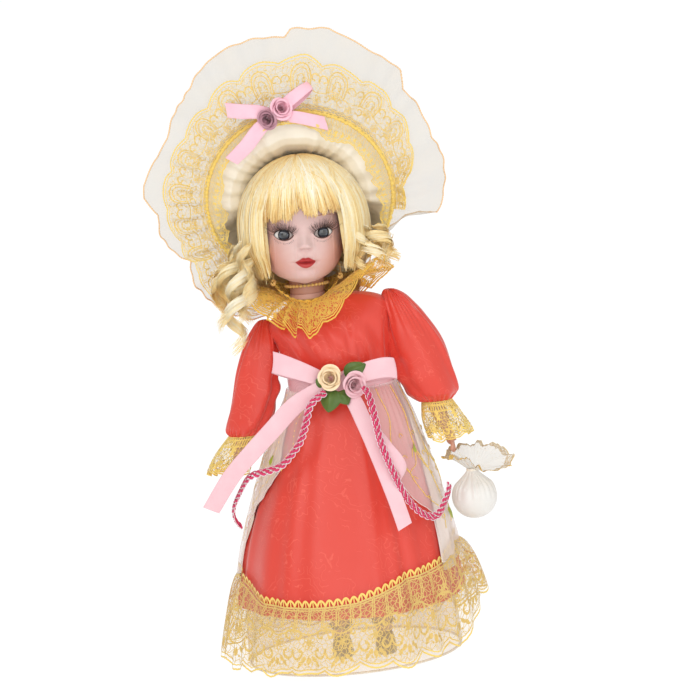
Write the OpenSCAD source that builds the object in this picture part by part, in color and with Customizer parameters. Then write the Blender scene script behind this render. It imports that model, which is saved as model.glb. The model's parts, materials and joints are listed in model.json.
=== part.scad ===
// Porcelain doll in a coral gown, standing on the stiff hem of its petticoat.
// +X is the doll's left side, +Y its back, +Z up; millimetres.
// Soft pieces are plain closed shells of their true outer size.

/* [Head] */
// radius of the glass eyes
eye_r = 6; // [5.5:0.1:6]
// wall of the porcelain head and shoulder plate
porcelain_t = 1.6; // [1.2:0.1:1.7]
// radius of the earring beads
earring_r = 1.8; // [1.2:0.1:2]

/* [Dress] */
// wall of the stiff petticoat
petticoat_t = 2; // [1.4:0.1:2]
// wall of the coral skirt and bodice
dress_t = 1; // [0.6:0.1:1]
// wall of the lace and organza pieces
lace_t = 0.8; // [0.6:0.1:0.8]
// thickness of the two trimming braids, as a radius
braid_r = 1.8; // [1.2:0.1:1.8]
// radius of the ribbon roses on the sash
rose_r = 5.6; // [4.5:0.1:6]

/* [Hat] */
// wall of the hat crown
crown_t = 1.2; // [0.8:0.1:1.3]
// radius of the ribbon roses on the hat
hat_rose_r = 4.6; // [4:0.1:4.8]

/* [Bag] */
// outer radius of the drawstring pouch
bag_r = 13; // [12:0.2:13]

/* [Hidden] */
$fn = 48;
ox = -6;  oy = 0;            // puts the middle of the whole object over the origin
neck_x = -2.4;
bolt_r = 2.5;  bolt_gap = 0.05;
porcelain = [0.93,0.78,0.70];  coral = [0.89,0.22,0.22];  gold = [0.89,0.74,0.35];
ivory = [0.97,0.94,0.88];  blonde = [0.93,0.80,0.48];  pink = [0.96,0.74,0.78];

// ---- ring and surface helpers -------------------------------------------
// row: [cx, cy, z, rx, ry, wave, lobes, tilt_x, tilt_y, saddle, phase]
function g(r,i) = len(r) > i ? r[i] : 0;
function rp(r,a,t=0) = let(f = 1 + g(r,5)*cos(g(r,6)*a + g(r,10)))
  [r[0]+(r[3]*f-t)*cos(a), r[1]+(r[4]*f-t)*sin(a), r[2]+g(r,7)*cos(a)+g(r,8)*sin(a)+g(r,9)*cos(2*a)];
function rings(rows,n,a0,a1,t=0) = let(c = abs(a1-a0-360) < 0.01, d = (a1-a0)/(c ? n : n-1))
  [for (r = rows) [for (j = [0:n-1]) rp(r, a0+d*j, t)]];
function shift(R,v) = [for (r = R) [for (p = r) p + v]];
function flat(R) = [for (r = R) for (p = r) p];
function q(a,b,c,d) = [[a,b,c],[a,c,d]];

// closed wall between surface A and surface B
module wall(A,B,closed=true) {
  m = len(A); n = len(A[0]); o = m*n; w = closed ? n : n-1;
  f = [for (i=[0:m-2]) for (j=[0:w-1]) let(k=(j+1)%n) each q(i*n+j,(i+1)*n+j,(i+1)*n+k,i*n+k)];
  b = [for (i=[0:m-2]) for (j=[0:w-1]) let(k=(j+1)%n) each q(o+i*n+j,o+i*n+k,o+(i+1)*n+k,o+(i+1)*n+j)];
  lo = [for (j=[0:w-1]) let(k=(j+1)%n) each q(j,k,o+k,o+j)];
  hi = [for (j=[0:w-1]) let(k=(j+1)%n, h=(m-1)*n) each q(h+k,h+j,o+h+j,o+h+k)];
  s = closed ? [] : [for (i=[0:m-2]) each concat(q((i+1)*n,i*n,o+i*n,o+(i+1)*n),
        q(i*n+n-1,(i+1)*n+n-1,o+(i+1)*n+n-1,o+i*n+n-1))];
  polyhedron(concat(flat(A),flat(B)), concat(f,b,lo,hi,s));
}
// solid between stacked rings, with flat fans on both ends
module loft(A) {
  m = len(A); n = len(A[0]); N = m*n;
  function mid(r) = [for (k=[0:2]) [for (p=r) p[k]] * [for (p=r) 1] / len(r)];
  f = [for (i=[0:m-2]) for (j=[0:n-1]) let(k=(j+1)%n) each q(i*n+j,(i+1)*n+j,(i+1)*n+k,i*n+k)];
  lo = [for (j=[0:n-1]) [j,(j+1)%n,N]];
  hi = [for (j=[0:n-1]) [(m-1)*n+(j+1)%n,(m-1)*n+j,N+1]];
  polyhedron(concat(flat(A),[mid(A[0]),mid(A[m-1])]), concat(f,lo,hi));
}
module shell(rows,t,n=32,a0=0,a1=360) wall(rings(rows,n,a0,a1), rings(rows,n,a0,a1,t), abs(a1-a0-360)<0.01);
module shell2(ro,ri,n=32,a0=0,a1=360) wall(rings(ro,n,a0,a1), rings(ri,n,a0,a1), abs(a1-a0-360)<0.01);
module disc(rows,t,n=40) { A = rings(rows,n,0,360); wall(A, shift(A,[0,0,t])); }
module body(rows,n=24) loft(rings(rows,n,0,360));

// round tube along a route
function unit(v) = v/norm(v);
function tang(P,i) = unit(P[min(i+1,len(P)-1)] - P[max(i-1,0)]);
function tube_rings(P,r,n,ref) = [for (i=[0:len(P)-1]) let(t=tang(P,i), u=unit(cross(t,ref)), v=cross(t,u))
  [for (j=[0:n-1]) P[i] + (is_list(r) ? r[i] : r)*(cos(360*j/n)*u + sin(360*j/n)*v)]];
module tube(P,r,n=8,ref=[0,1,0.03]) loft(tube_rings(P,r,n,ref));
// flat ribbon along a route; wd is the width direction at every point
module ribbon(P,W,t) {
  R = [for (i=[0:len(P)-1]) let(tg=tang(P,i), w=W[i], nn=unit(cross(tg,w))*t/2)
    [P[i]-w/2-nn, P[i]+w/2-nn, P[i]+w/2+nn, P[i]-w/2+nn]];
  loft(R);
}
// points added along a hand-set route by Catmull-Rom
function cr(P,i,u) = let(a=P[max(i-1,0)],b=P[i],c=P[i+1],d=P[min(i+2,len(P)-1)])
  0.5*((2*b)+(c-a)*u+(2*a-5*b+4*c-d)*u*u+(3*b-a-3*c+d)*u*u*u);
function smooth(P,k) = concat([for (i=[0:len(P)-2]) for (s=[0:k-1]) cr(P,i,s/k)],[P[len(P)-1]]);

// ---- body, porcelain and dress ------------------------------------------
module torso_cloth() color(ivory) body([[9,0,118,24,16],[10.5,0,140,25,17.5],[12,0,158,22.5,16.5],[12,0,170,22.5,17],[10,0,182,24,17.5],[7,0,196,21,14.5]],28);
module shoulder_plate() color(porcelain) shell([[9.6,0,183,27,20.5],[7,0,197,26.5,18],[4,0,204,20,14],[0.2,0,209,13,11.6],[neck_x,0,216,9.6,9.6]],porcelain_t,32);
module neck_socket() color([0.85,0.8,0.7]) translate([neck_x,0,212.6]) difference() { cylinder(r=5.9,h=3.4); translate([0,0,-1]) cylinder(r=bolt_r+bolt_gap,h=6); }
module neck_bolt() color([0.7,0.7,0.72]) translate([neck_x,0,0]) { translate([0,0,206.4]) cylinder(r=bolt_r,h=12); translate([0,0,217.4]) cylinder(r=5,h=2); }
module neck_nut() color([0.7,0.7,0.72]) translate([neck_x,0,0]) {
  translate([0,0,211.2]) difference() { cylinder(r=5.6,h=1); translate([0,0,-1]) cylinder(r=bolt_r+0.02,h=3); }
  translate([0,0,208.6]) difference() { linear_extrude(2.4) polygon([for (i=[0:5]) 4.6*[cos(60*i),sin(60*i)]]); translate([0,0,-1]) cylinder(r=bolt_r+0.02,h=5); } }
module necklace() color(gold) for (i=[0:25]) let(a=i*360/26) translate([neck_x+11.7*cos(a),11.7*sin(a),219.8+1.2*sin(a)]) sphere(r=1.05,$fn=24);
module bodice() color(coral) shell([[12,0,168,28,22],[10,0,185,30,24],[8,0,198,30,21],[5,0,206,24,17],[1,0,212,15,12.6]],dress_t,36);
module skirt() color(coral) shell([[4,0,40,65,66,0.012,14],[6.5,0,75,58,54,0.01,14],[9,0,110,48,41],[11,0,140,38,31],[12,0,164,28,22]],dress_t,44);
module petticoat() color(ivory) shell([[4,0,4,67,67],[4,0,40,61,62],[6.5,0,75,54,50],[9,0,110,44,37],[11,0,140,34,27],[12,0,158,28,22]],petticoat_t,44);
module petticoat_hem() color(ivory) translate([4,0,0]) rotate_extrude($fn=88) translate([64.4,0]) square([2.6,4]);
module overskirt_left() color(ivory) shell([[5,0,56,66.5,66],[6.5,0,75,62,58],[9,0,110,52,45],[11,0,140,40.8,34],[11.5,0,151,35.6,29],[12,0,157,33,27]],lace_t,26,-52,82);
module overskirt_right() color(ivory) shell([[5,0,56,66.5,66],[6.5,0,75,62,58],[9,0,110,52,45],[11,0,140,40.8,34],[11.5,0,151,35.6,29],[12,0,157,33,27]],lace_t,26,98,232);
module hem_lace() color(gold) shell([[0,0,5,76,76,0.018,18],[5,0,25,77,75,0.018,18],[8,0,42,73,71,0.015,18],[5,0,53,66.2,66.5]],lace_t,72);
module collar() color(gold) disc([[-1,0,215.5,16,13.5],[3,-1.5,213.5,29,21,0.02,12,1,0,5],[7.2,-7,213,44.6,28.4,0.03,12,2.5,3,15]],lace_t,48);
module waist_ribbon() color(pink) shell([[12,0,160.5,30.7,25.2],[12,0,164,30.2,24.4],[12,0,171,29.8,24.2]],dress_t*0.9,36);

// ---- sash bow, roses, braids ---------------------------------------------
module blob(p,s,r=[0,0,0]) translate(p) rotate(r) scale(s) sphere(r=1,$fn=36);
module bow_loops() color(pink) { blob([-9,-31.5,175],[18.5,2.4,6],[0,12,0]); blob([30.5,-31.5,171.5],[11,2.4,6],[0,4,0]); }
tail_r = [[4,-33,161],[-10,-36,149],[-24,-39,137],[-34,-40,128]];
tail_l = [[20,-37.5,154],[25,-45,139],[29,-49.5,124],[34,-54,103],[39,-58,83]];
module bow_tails() color(pink) { ribbon(tail_r,[for (p=tail_r) [-7,0,8]],0.6); ribbon(tail_l,[for (p=tail_l) [11,1,3]],0.6); }
module rose_cream() color([0.95,0.85,0.65]) translate([4.6,-40.2,172]) sphere(r=rose_r);
module rose_pink() color(pink) translate([19.5,-41,165]) sphere(r=rose_r);
module rose_leaves() color([0.13,0.36,0.12]) { blob([6.5,-38.2,160.2],[5,1.2,3.4],[0,50,0]); blob([14.6,-41.4,153.6],[4.6,1.2,3.0],[0,75,0]); blob([18.5,-27.2,180.5],[5.4,1.2,3],[0,-12,0]); }
braid_r_route = smooth([[8,-30,158],[-6,-32,150],[-14,-34,138],[-26,-33.5,125],[-41,-26,117],[-56,-20,102],[-58,-14,87]],5);
braid_l_route = smooth([[27,-31,159],[30,-37,146],[32,-41,132],[39,-44,108],[48,-43,93],[58,-35,85],[66,-22,94]],5);
module braid_right() color([0.85,0.2,0.45]) tube(braid_r_route,braid_r,8);
module braid_left() color([0.85,0.2,0.45]) tube(braid_l_route,braid_r,8);

// ---- head, eyes and wig ----------------------------------------------------
module head() color(porcelain) difference() {
  shell([[neck_x,0,216.4,9.3,9.3],[-2.2,0,223,9.5,9.5],[-2,-6.5,227.5,12.5,17.5],[-1.7,-6.5,232,18,22.5],[-1.5,-4.5,240,22,26.5],[-1.2,-3,250,24.3,29],[-1,-2,262,25.5,30],[-0.8,-1,274,25,28.5],[-0.5,0,282,21.5,25.2]],porcelain_t,36);
  for (e=[[-12.2,256.1],[10.7,255.1]]) translate([e[0],-18,e[1]]) rotate([90,0,0]) cylinder(r=3.4,h=20,$fn=36);
}
module head_pate() color([0.85,0.8,0.7]) body([[-0.5,0,282.3,20,23.6],[-0.5,0,287,14,16.5],[-0.5,0,290,5,6]],32);
module eye(p) { translate(p) sphere(r=eye_r,$fn=48); }
module eye_right() color([0.25,0.32,0.42]) eye([-12.2,-18,256.1]);
module eye_left() color([0.25,0.32,0.42]) eye([10.7,-18,255.1]);
module wig_cap() color(blonde) shell2([[-0.5,1,276.4,36,32.6],[-0.5,1,284,30,28.5],[-0.5,1,292,21,20],[-0.5,1,298,7,7]],[[-0.5,1,276.4,27.6,30.6],[-0.5,1,284,23,26],[-0.5,1,290.5,12,14],[-0.5,1,293,3,3]],36);
module wig_back() color(blonde) shell2([[-1,4,232,34,26],[-0.5,3,245,39,31],[-0.5,2,258,41,33],[-0.5,1,276,36.4,33]],[[-1,3,232,26,19.5],[-0.5,2,245,27,26.5],[-0.5,1,258,27.8,31],[-0.5,1,276,27.8,30.8]],34,-20,200);
module wig_bangs() color(blonde) shell2([[-0.5,-1,264,31,35],[-0.5,0,270,33,35],[-0.5,1,276,34,34]],[[-0.5,-1,264,27,31],[-0.5,-1,270,27.2,31],[-0.5,0,276,27.4,30]],22,214,326);
ringlet_r_route = smooth([[-33,-20,262],[-38,-21,246],[-43,-22,230],[-48,-22,215]],4);
ringlet_l_route = smooth([[32,-20,263],[35,-22,253],[38,-24,243]],4);
module ringlet_right() color(blonde) tube(ringlet_r_route,[for (i=[0:12]) 3.6+1.6*sin(i*14)],12);
module ringlet_left() color(blonde) tube(ringlet_l_route,[for (i=[0:8]) 3.4+1.4*sin(i*20)],12);
module earring(x) { translate([x,-11,226.2]) sphere(r=earring_r,$fn=32); translate([x,-11,227]) cylinder(r=0.5,h=4.6); }
module earring_right() color(gold) earring(-21.4);
module earring_left() color(gold) earring(18);

// ---- hat; its own axis points back and up -----------------------------------
hat_c = [-2,12,276];  hat_tilt = -73;
module hat_frame() translate(hat_c) rotate([hat_tilt,0,0]) children();
module crown_shape(o,t) rotate_extrude($fn=72) polygon([[54-o,0],[53-o,12-o*0.2],[45-o,24-o*0.7],[31-o,31-o*0.9],[0,34-o*1.2],[0,34-o*1.2-t],[31-o-t*0.6,31-o*0.9-t],[45-o-t,24-o*0.7-t*0.6],[53-o-t,12-o*0.2],[54-o-t,0]]);
module hat_crown() color(ivory) hat_frame() translate([1,4,0]) crown_shape(0,crown_t);
module hat_lining() color(ivory) hat_frame() translate([1,4,0]) crown_shape(2.2,0.8);
module hat_band() color(gold) hat_frame() translate([1,4,-4]) rotate_extrude($fn=72) translate([50.2,0]) square([3,2.8]);
module hat_brim() color(ivory) hat_frame() disc([[1,4,-1,54.8,54.8],[0,3,-3,66,67,0.004,13],[0,1,-1,79,81,0.012,13],[0,0,3,89.5,94,0.02,13]],lace_t,60);
module hat_lace() color(gold) hat_frame() disc([[1,4,-4.4,56,56],[0,3,-6.6,66,67,0.004,13],[0,1,-4.4,77,79,0.012,13],[0,0,-1.6,84,88.5,0.014,13]],lace_t,60);
module hat_bow() color(pink) hat_frame() { blob([-19,-50,-12.4],[9.5,3.6,1.6],[0,0,14]); blob([8,-58,-12.4],[11.5,3.6,1.6],[0,0,-24]); blob([14,-46,-12.4],[10,3.4,1.6],[0,0,18]); blob([-24,-38,-12.4],[4,11,1.6],[0,0,28]); }
module hat_rose_mauve() color([0.72,0.42,0.52]) hat_frame() translate([-12,-43.5,-17]) sphere(r=hat_rose_r);
module hat_rose_pink() color(pink) hat_frame() translate([-3.5,-50.5,-17]) sphere(r=hat_rose_r);

// ---- arms -------------------------------------------------------------------
module upper_arm_left() color(ivory) body([[63,-3,156,6.2,6.2],[57,-1,180,7.4,7.4],[50,1,203,5.4,5.4]],20);
module sleeve_left() color(coral) shell([[66,-3,146,10,9.6],[64,-3,152,15,13.4],[61,-2,165,17,15.6],[57.4,-1,182,16.2,15],[53,1,197,12,12],[48.5,2,208,7.5,8.5],[46,2,213,3.6,4.4]],dress_t,30);
module cuff_lace_left() color(gold) shell([[72,-7,126,12.4,12,0.05,9],[69,-5,135,12.4,12,0.04,9],[66.2,-3,145.4,9,8.6]],lace_t,36);
module forearm_left() color(porcelain) body([[74.2,-11.5,117.2,1.6,2.8],[73.4,-10.5,120,2.6,4.4],[72,-9,126,3.2,4.8],[70,-7,131,3.4,3.6],[67.5,-5,138,4.8,4.8],[65,-3.2,149,5.2,5.2],[64.5,-3,152,4,4]],20);
module upper_arm_right() color(ivory) body([[-44.5,-2,147,5.8,5.8],[-36.5,-1,172,6.6,6.6],[-31.5,1,194,4.2,4.6]],20);
module sleeve_right() color(coral) shell([[-47,-2,137,10,9.6],[-44.5,-2,143,13,12.8],[-39.5,-1,157,13.4,14],[-35.5,0,175,12.4,13.4],[-32.6,1,190,9.2,11],[-30.6,2,199,5.4,7],[-29.8,2,202.6,2.8,3.8]],dress_t,30);
module cuff_lace_right() color(gold) shell([[-59.5,-3,116,11.4,11.4,0.05,9],[-54.5,-3,126,11.6,11.4,0.04,9],[-48,-2,136.4,9,8.6]],lace_t,36);
module forearm_right() color(porcelain) body([[-58,-4,111.5,1.6,2.8],[-57.2,-4,114,2.4,4],[-55.5,-4,118.5,3,4.4],[-53,-4,123,3.4,3.6],[-50,-3,130,4.6,4.6],[-47,-2,140,5,5],[-46,-2,143,4,4]],20);

// ---- legs -------------------------------------------------------------------
module thigh(x,lean) body([[x+lean,0,78,7.2,7.2],[x+lean*0.5,0,98,9,9],[x,0,112,9.8,9.8],[x,0,117,7,7]],20);
module shin(x) body([[x,-0.5,19.4,4.6,4.8],[x,0,30,4.8,5],[x,1,52,6.6,7],[x,0,68,6.2,6.4],[x,0,75,5,5]],20);
module shoe(x) { body([[x,-8,5.6,7.6,16.4],[x,-8,8.5,8,16.8],[x,-7,12.5,7.2,14],[x,-3,16,6.6,9],[x,-1,19,5.8,6.6]],28);
  translate([x,-8,4]) linear_extrude(1.5) polygon([for (i=[0:31]) [7.8*cos(i*11.25),16.8*sin(i*11.25)]]);
  translate([x,4,1.6]) cylinder(r=4,h=2.4); }
module thigh_left() color(ivory) thigh(20,2);
module thigh_right() color(ivory) thigh(-2,-1.5);
module shin_left() color(porcelain) shin(22);
module shin_right() color(porcelain) shin(-3.5);
module shoe_left() color([0.05,0.05,0.05]) shoe(22);
module shoe_right() color([0.05,0.05,0.05]) shoe(-3.5);

// ---- drawstring bag -----------------------------------------------------------
bag_c = [83,-9,88];
module bag_cord() color(pink) tube([[75.6,-12,116.4],[78.5,-11.4,111],[82,-9.6,106.4]],0.7,8);
module bag_pouch() color(ivory) translate(bag_c) rotate_extrude($fn=56) polygon(concat(
  [for (i=[0:12]) let(a=-90+i*12.5) bag_r*[cos(a)*(cos(a)>0.001?1:0),sin(a)]], [[3.4,14.2],[3.4,15.8],[2.6,15.8],[2.6,14]],
  [for (i=[12:-1:0]) let(a=-90+i*12.5) (bag_r-0.8)*[cos(a)*(cos(a)>0.001?1:0),sin(a)]]));
module bag_filling() color(ivory) translate(bag_c) sphere(r=bag_r-1.2);
module bag_frill() color(gold) translate([bag_c[0],bag_c[1],0]) disc([[0,0,104.4,3.6,3.6],[2,0,107,10,9,0.05,8],[4,0,108.5,18.5,15,0.08,8,-3,0,2]],lace_t,40);

module put() translate([ox,oy,0]) children();
put() torso_cloth();
put() shoulder_plate();
put() neck_socket();
put() necklace();
put() bodice();
put() skirt();
put() petticoat();
put() petticoat_hem();
put() overskirt_left();
put() overskirt_right();
put() hem_lace();
put() collar();
put() waist_ribbon();
put() bow_loops();
put() bow_tails();
put() rose_cream();
put() rose_pink();
put() rose_leaves();
put() braid_left();
put() braid_right();
put() head();
put() head_pate();
put() eye_left();
put() eye_right();
put() wig_cap();
put() wig_back();
put() wig_bangs();
put() ringlet_left();
put() ringlet_right();
put() earring_left();
put() earring_right();
put() neck_bolt();
put() neck_nut();
put() hat_crown();
put() hat_lining();
put() hat_band();
put() hat_brim();
put() hat_lace();
put() hat_bow();
put() hat_rose_mauve();
put() hat_rose_pink();
put() upper_arm_left();
put() sleeve_left();
put() cuff_lace_left();
put() forearm_left();
put() upper_arm_right();
put() sleeve_right();
put() cuff_lace_right();
put() forearm_right();
put() thigh_left();
put() thigh_right();
put() shin_left();
put() shin_right();
put() shoe_left();
put() shoe_right();
put() bag_cord();
put() bag_pouch();
put() bag_filling();
put() bag_frill();
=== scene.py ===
import sys, math, json
import bpy
import numpy as np
from mathutils import Matrix, Vector
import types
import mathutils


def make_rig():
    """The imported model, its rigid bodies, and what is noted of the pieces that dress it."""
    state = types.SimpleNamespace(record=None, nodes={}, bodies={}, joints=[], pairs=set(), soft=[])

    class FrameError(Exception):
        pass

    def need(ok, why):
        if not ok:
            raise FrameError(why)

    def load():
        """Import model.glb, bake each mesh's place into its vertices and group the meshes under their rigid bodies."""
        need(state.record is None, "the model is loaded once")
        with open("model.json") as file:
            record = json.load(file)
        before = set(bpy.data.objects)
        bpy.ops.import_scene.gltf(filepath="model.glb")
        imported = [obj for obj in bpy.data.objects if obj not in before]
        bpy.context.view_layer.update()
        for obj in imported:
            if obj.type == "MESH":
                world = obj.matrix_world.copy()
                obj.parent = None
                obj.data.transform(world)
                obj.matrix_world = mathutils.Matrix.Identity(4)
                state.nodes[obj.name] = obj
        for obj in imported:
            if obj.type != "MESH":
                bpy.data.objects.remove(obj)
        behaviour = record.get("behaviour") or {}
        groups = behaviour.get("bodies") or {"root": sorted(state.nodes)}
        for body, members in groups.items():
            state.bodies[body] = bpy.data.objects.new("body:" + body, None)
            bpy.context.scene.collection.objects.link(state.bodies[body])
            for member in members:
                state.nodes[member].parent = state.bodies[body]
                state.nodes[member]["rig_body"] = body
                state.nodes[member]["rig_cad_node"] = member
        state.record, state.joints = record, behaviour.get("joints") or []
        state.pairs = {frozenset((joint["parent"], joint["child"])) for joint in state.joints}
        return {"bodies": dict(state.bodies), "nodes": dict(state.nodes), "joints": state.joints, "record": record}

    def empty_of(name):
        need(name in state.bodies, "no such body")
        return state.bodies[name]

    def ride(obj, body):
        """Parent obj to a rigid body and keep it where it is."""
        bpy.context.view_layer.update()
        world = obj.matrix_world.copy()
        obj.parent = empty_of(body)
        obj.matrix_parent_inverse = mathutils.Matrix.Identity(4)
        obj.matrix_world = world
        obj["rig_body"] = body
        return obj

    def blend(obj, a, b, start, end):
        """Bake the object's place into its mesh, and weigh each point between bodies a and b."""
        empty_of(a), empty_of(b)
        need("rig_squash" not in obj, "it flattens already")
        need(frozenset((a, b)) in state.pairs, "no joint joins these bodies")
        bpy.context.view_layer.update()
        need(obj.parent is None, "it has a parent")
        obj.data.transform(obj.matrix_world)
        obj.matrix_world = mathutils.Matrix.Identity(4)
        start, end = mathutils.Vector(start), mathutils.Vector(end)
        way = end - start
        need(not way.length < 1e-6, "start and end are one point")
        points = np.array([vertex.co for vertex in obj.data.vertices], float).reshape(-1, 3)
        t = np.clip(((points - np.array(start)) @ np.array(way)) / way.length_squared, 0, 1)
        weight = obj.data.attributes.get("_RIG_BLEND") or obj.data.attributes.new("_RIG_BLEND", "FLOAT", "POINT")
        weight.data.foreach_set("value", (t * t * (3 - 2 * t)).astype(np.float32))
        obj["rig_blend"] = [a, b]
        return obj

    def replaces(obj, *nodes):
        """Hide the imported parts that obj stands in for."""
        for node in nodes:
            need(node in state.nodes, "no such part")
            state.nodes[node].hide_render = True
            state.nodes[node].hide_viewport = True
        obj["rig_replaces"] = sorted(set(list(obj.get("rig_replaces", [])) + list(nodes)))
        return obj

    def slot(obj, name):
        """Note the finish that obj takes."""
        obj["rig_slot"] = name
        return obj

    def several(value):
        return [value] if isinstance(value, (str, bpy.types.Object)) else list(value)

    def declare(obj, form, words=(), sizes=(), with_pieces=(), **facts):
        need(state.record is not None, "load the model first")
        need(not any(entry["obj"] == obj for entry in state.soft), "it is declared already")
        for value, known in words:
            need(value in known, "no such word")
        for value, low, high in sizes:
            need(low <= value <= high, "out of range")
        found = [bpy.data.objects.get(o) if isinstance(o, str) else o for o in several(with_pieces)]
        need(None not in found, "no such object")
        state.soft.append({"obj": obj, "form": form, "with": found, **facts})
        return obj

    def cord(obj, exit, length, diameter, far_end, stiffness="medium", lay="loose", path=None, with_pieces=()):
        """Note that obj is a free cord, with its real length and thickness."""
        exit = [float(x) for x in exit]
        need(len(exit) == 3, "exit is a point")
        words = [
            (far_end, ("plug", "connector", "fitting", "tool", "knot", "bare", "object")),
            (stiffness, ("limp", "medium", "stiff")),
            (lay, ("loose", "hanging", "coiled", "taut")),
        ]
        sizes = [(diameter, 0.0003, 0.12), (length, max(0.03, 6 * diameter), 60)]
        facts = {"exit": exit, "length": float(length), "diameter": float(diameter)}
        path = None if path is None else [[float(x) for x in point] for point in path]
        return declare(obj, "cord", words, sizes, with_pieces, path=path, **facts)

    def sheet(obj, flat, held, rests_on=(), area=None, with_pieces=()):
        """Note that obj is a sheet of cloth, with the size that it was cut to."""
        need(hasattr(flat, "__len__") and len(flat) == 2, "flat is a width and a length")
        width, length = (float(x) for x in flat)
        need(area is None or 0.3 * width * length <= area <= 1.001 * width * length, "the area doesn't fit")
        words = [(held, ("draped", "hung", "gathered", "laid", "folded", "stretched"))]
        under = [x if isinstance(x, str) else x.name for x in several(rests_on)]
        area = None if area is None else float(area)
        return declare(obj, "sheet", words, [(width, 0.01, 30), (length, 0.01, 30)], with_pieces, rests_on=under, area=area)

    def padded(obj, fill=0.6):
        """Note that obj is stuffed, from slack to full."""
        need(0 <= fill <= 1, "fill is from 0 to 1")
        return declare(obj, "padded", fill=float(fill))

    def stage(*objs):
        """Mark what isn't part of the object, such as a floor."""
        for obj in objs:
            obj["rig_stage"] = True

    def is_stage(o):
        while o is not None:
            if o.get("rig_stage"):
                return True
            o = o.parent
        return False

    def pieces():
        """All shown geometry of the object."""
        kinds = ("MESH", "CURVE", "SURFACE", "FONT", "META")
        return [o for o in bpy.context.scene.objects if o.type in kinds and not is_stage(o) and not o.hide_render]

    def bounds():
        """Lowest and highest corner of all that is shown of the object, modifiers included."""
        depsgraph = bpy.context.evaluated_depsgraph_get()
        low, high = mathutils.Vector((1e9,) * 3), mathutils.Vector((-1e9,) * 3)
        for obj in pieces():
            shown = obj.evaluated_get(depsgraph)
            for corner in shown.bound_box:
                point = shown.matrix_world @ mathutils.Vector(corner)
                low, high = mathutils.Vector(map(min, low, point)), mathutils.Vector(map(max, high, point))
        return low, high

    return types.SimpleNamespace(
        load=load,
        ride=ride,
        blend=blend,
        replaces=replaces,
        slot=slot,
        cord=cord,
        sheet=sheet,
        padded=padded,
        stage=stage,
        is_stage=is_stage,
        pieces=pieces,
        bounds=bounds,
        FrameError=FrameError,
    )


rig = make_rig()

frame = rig.load()
SIZE0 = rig.bounds()
OX = -6.0
S = 0.001
rng = np.random.default_rng(7)
pi = math.pi


def W(P):
    P = np.asarray(P, dtype=float).reshape(-1, 3).copy()
    P[:, 0] += OX
    return P * S


def wpt(x, y, z):
    return ((x + OX) * S, y * S, z * S)


# ------------------------------------------------------------------ camera, light, floor
def look():
    target = Vector(wpt(19.0, 0, 180.5))
    lens, el, roll = 220.0, math.radians(8.0), math.radians(6.0)
    dist = 0.4116 / 36.0 * lens
    cam = bpy.data.cameras.new("camera")
    cam.lens = lens
    cam.sensor_width = 36.0
    cam.clip_end = 20.0
    ob = bpy.data.objects.new("camera", cam)
    bpy.context.scene.collection.objects.link(ob)
    r = Vector((1, 0, 0))
    u = Vector((0, math.sin(el), math.cos(el)))
    k = Vector((0, -math.cos(el), math.sin(el)))
    i = math.cos(roll) * r - math.sin(roll) * u
    j = math.sin(roll) * r + math.cos(roll) * u
    m = Matrix((i, j, k)).transposed().to_4x4()
    m.translation = target + k * dist
    ob.matrix_world = m
    bpy.context.scene.camera = ob
    for name, loc, size, power, aim in (
        ("key", (-0.9, -1.5, 1.5), 1.2, 10.0, (0, 0, 0.2)),
        ("fill", (1.3, -1.2, 0.8), 1.6, 4.5, (0, 0, 0.18)),
        ("front", (0.1, -2.4, 0.75), 1.6, 11.8, (0, 0, 0.2)),
        ("back", (0.4, 1.0, 1.9), 1.4, 4.0, (0, 0.2, 0.25)),
    ):
        l = bpy.data.lights.new(name, "AREA")
        l.energy = power
        l.size = size
        o = bpy.data.objects.new(name, l)
        bpy.context.scene.collection.objects.link(o)
        d = Vector(aim) - Vector(loc)
        o.matrix_world = Matrix.Translation(Vector(loc)) @ d.to_track_quat("-Z", "Y").to_matrix().to_4x4()
    world = bpy.data.worlds.new("world")
    world.use_nodes = True
    bg = world.node_tree.nodes["Background"]
    bg.inputs[0].default_value = (1.0, 0.99, 0.975, 1)
    bg.inputs[1].default_value = 0.62
    # the background seen directly is plain white, from every side
    wt = world.node_tree
    seen = wt.nodes.new("ShaderNodeBackground")
    seen.inputs[0].default_value = (1, 1, 1, 1)
    seen.inputs[1].default_value = 1.02
    path = wt.nodes.new("ShaderNodeLightPath")
    mixw = wt.nodes.new("ShaderNodeMixShader")
    wt.links.new(path.outputs["Is Camera Ray"], mixw.inputs[0])
    wt.links.new(bg.outputs[0], mixw.inputs[1])
    wt.links.new(seen.outputs[0], mixw.inputs[2])
    wt.links.new(mixw.outputs[0], wt.nodes["World Output"].inputs[0])
    bpy.context.scene.world = world
    bpy.context.scene.view_settings.view_transform = "Standard"
    # a pale floor
    m = bpy.data.meshes.new("floor")
    k = 4.0
    m.from_pydata([(-k, -k, -0.0004), (k, -k, -0.0004), (k, k, -0.0004), (-k, k, -0.0004)], [], [(0, 1, 2, 3)])
    m.polygons.foreach_set("use_smooth", [True] * len(m.polygons))
    o = bpy.data.objects.new("floor", m)
    bpy.context.scene.collection.objects.link(o)
    mt = bpy.data.materials.new("floor")
    mt.use_nodes = True
    b = mt.node_tree.nodes["Principled BSDF"]
    b.inputs["Base Color"].default_value = (0.12, 0.12, 0.12, 1)
    b.inputs["Emission Color"].default_value = (1, 1, 1, 1)
    b.inputs["Emission Strength"].default_value = 0.93
    b.inputs["Roughness"].default_value = 0.9
    m.materials.append(mt)
    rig.stage(o)


look()


# ------------------------------------------------------------------ material helpers
def lin(c):
    return tuple(((v / 255.0) / 12.92 if v / 255.0 <= 0.04045 else ((v / 255.0 + 0.055) / 1.055) ** 2.4) for v in c) + (1.0,)


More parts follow.
